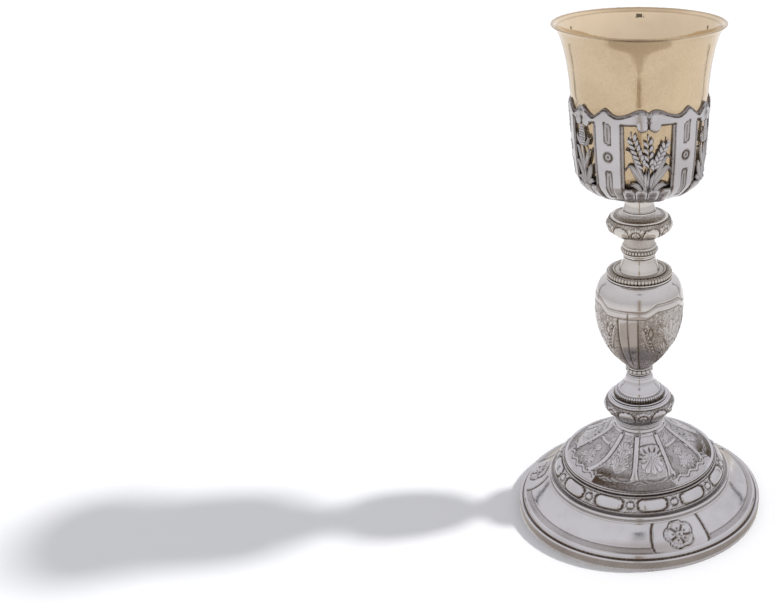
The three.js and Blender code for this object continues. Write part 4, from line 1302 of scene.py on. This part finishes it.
for name, outline, columns, carve, material in (
    ("foot", foot_outline(), FOOT_COLUMNS, carve_foot, chased_silver),
    ("lower_knop", lower_knop_outline(), KNOP_COLUMNS, carve_lower_knop, chased_silver),
    ("lower_bell", lower_bell_outline(), BELL_COLUMNS, carve_lower_bell, chased_silver),
    ("vase_knop", vase_outline(), VASE_COLUMNS, carve_vase, vase_silver),
    ("upper_bell", upper_bell_outline(), BELL_COLUMNS, carve_upper_bell, stem_silver),
    ("upper_knop", upper_knop_outline(), KNOP_COLUMNS, carve_upper_knop, stem_silver),
    ("neck", neck_outline(), NECK_COLUMNS, carve_neck, stem_silver),
):
    turned_piece(name, outline, columns, carve, material)
make_calyx()
turned_piece("cup", cup_outline(), CUP_COLUMNS, carve_cup, cup_gilt)


# Studio

def add_floor():
    work = bmesh.new()
    bmesh.ops.create_grid(work, x_segments=4, y_segments=4, size=12)
    floor = in_scene("floor", mesh_from(work, "floor"))
    material, _, _, shader = new_material("paper")
    shader.inputs["Base Color"].default_value = (0.88, 0.88, 0.88, 1)
    shader.inputs["Roughness"].default_value = 0.9
    shader.inputs["Specular IOR Level"].default_value = 0.1
    floor.data.materials.append(material)
    floor.visible_glossy = False


def add_sun():
    """The one lamp that casts the long shadow. The metal doesn't show it."""
    light = bpy.data.lights.new("key", "SUN")
    light.energy = SUN_STRENGTH
    light.angle = math.radians(SUN_ANGLE)
    lamp = in_scene("key", light)
    lamp.location = SUN_PLACE
    lamp.rotation_euler = Vector(SUN_PLACE).to_track_quat("Z", "Y").to_euler()
    lamp.visible_glossy = False


def reflected_only(name, work, material):
    """A studio thing that shows in the polished metal alone."""
    thing = in_scene(name, mesh_from(work, name))
    thing.data.materials.append(material)
    thing.visible_camera = False
    thing.visible_shadow = False
    thing.visible_diffuse = False


def glowing_material(name):
    """A surface that gives its own light alone, so its tone is the one it is given."""
    material, nodes, links, shader = new_material(name)
    shader.inputs["Base Color"].default_value = (0, 0, 0, 1)
    shader.inputs["Specular IOR Level"].default_value = 0
    shader.inputs["Emission Strength"].default_value = 1
    return material, nodes, links, shader


def add_card(name, place, width, height, tone, flat=False):
    """An upright card that faces the chalice, or a pointed one flat on the table."""
    work = bmesh.new()
    if flat:
        bmesh.ops.create_circle(work, cap_ends=True, segments=4, radius=0.5)
    else:
        bmesh.ops.create_grid(work, x_segments=1, y_segments=1, size=0.5)
    size = Matrix.Diagonal((width, height, 1, 1))
    stand = Matrix.Rotation(0 if flat else math.pi / 2, 4, "X")
    turn = Matrix.Rotation(math.atan2(place[0], -place[1]), 4, "Z")
    bmesh.ops.transform(
        work, verts=work.verts[:], matrix=Matrix.Translation(place) @ turn @ stand @ size,
    )
    material, _, _, shader = glowing_material(name)
    shader.inputs["Emission Color"].default_value = (*tone, 1)
    reflected_only(name, work, material)


def add_tent():
    """The table, pale walls and darker ceiling of the room, as the metal sees them."""
    work = bmesh.new()
    bmesh.ops.create_uvsphere(work, u_segments=48, v_segments=24, radius=TENT_RADIUS)
    material, nodes, links, shader = glowing_material("tent")
    direction = nodes.new("ShaderNodeTexCoord")
    reach = nodes.new("ShaderNodeVectorMath")
    reach.operation = "DOT_PRODUCT"
    reach.inputs[1].default_value = [part / TENT_RADIUS / 2 for part in CEILING_DIRECTION]
    links.new(direction.outputs["Object"], reach.inputs[0])
    level = sum_node(nodes, links, "ADD", reach.outputs["Value"], 0.5)
    ramp = tone_ramp(nodes, TENT_TONES)
    links.new(level, ramp.inputs["Fac"])
    links.new(ramp.outputs["Color"], shader.inputs["Emission Color"])
    reflected_only("tent", work, material)


def add_world():
    """A pale room, lighter overhead and darker low down."""
    world = bpy.data.worlds.new("room")
    world.use_nodes = True
    nodes, links = world.node_tree.nodes, world.node_tree.links
    direction = nodes.new("ShaderNodeTexCoord")
    split = nodes.new("ShaderNodeSeparateXYZ")
    links.new(direction.outputs["Generated"], split.inputs["Vector"])
    ramp = tone_ramp(nodes, ROOM_TONES)
    links.new(split.outputs["Z"], ramp.inputs["Fac"])
    links.new(ramp.outputs["Color"], nodes["Background"].inputs["Color"])
    nodes["Background"].inputs["Strength"].default_value = ROOM_STRENGTH
    bpy.context.scene.world = world


def add_camera():
    data = bpy.data.cameras.new("camera")
    data.sensor_width = SENSOR_WIDTH
    data.lens = LENS
    data.shift_x = FRAME_SHIFT
    data.clip_end = 20
    camera = in_scene("camera", data)
    camera.location = CAMERA_PLACE
    camera.rotation_euler = (math.radians(CAMERA_TILT), 0, 0)
    bpy.context.scene.camera = camera


add_floor()
add_world()
add_tent()
add_sun()
add_card("cloth", (0, -0.13, 0.002), 0.38, 0.68, (0.70, 0.64, 0.58), flat=True)
add_card("stand", (0, -0.50, 0.175), 0.06, 0.35, (0.47, 0.36, 0.25))
add_card("boom", (0, -0.40, 0.76), 0.09, 0.22, (0.04, 0.035, 0.03))
add_card("left_flag", (-0.52, 0.42, 0.2), 0.035, 0.5, (0.06, 0.05, 0.04))
add_card("right_flag", (0.52, 0.42, 0.2), 0.035, 0.5, (0.06, 0.05, 0.04))
add_camera()
bpy.context.scene.view_settings.view_transform = "Standard"
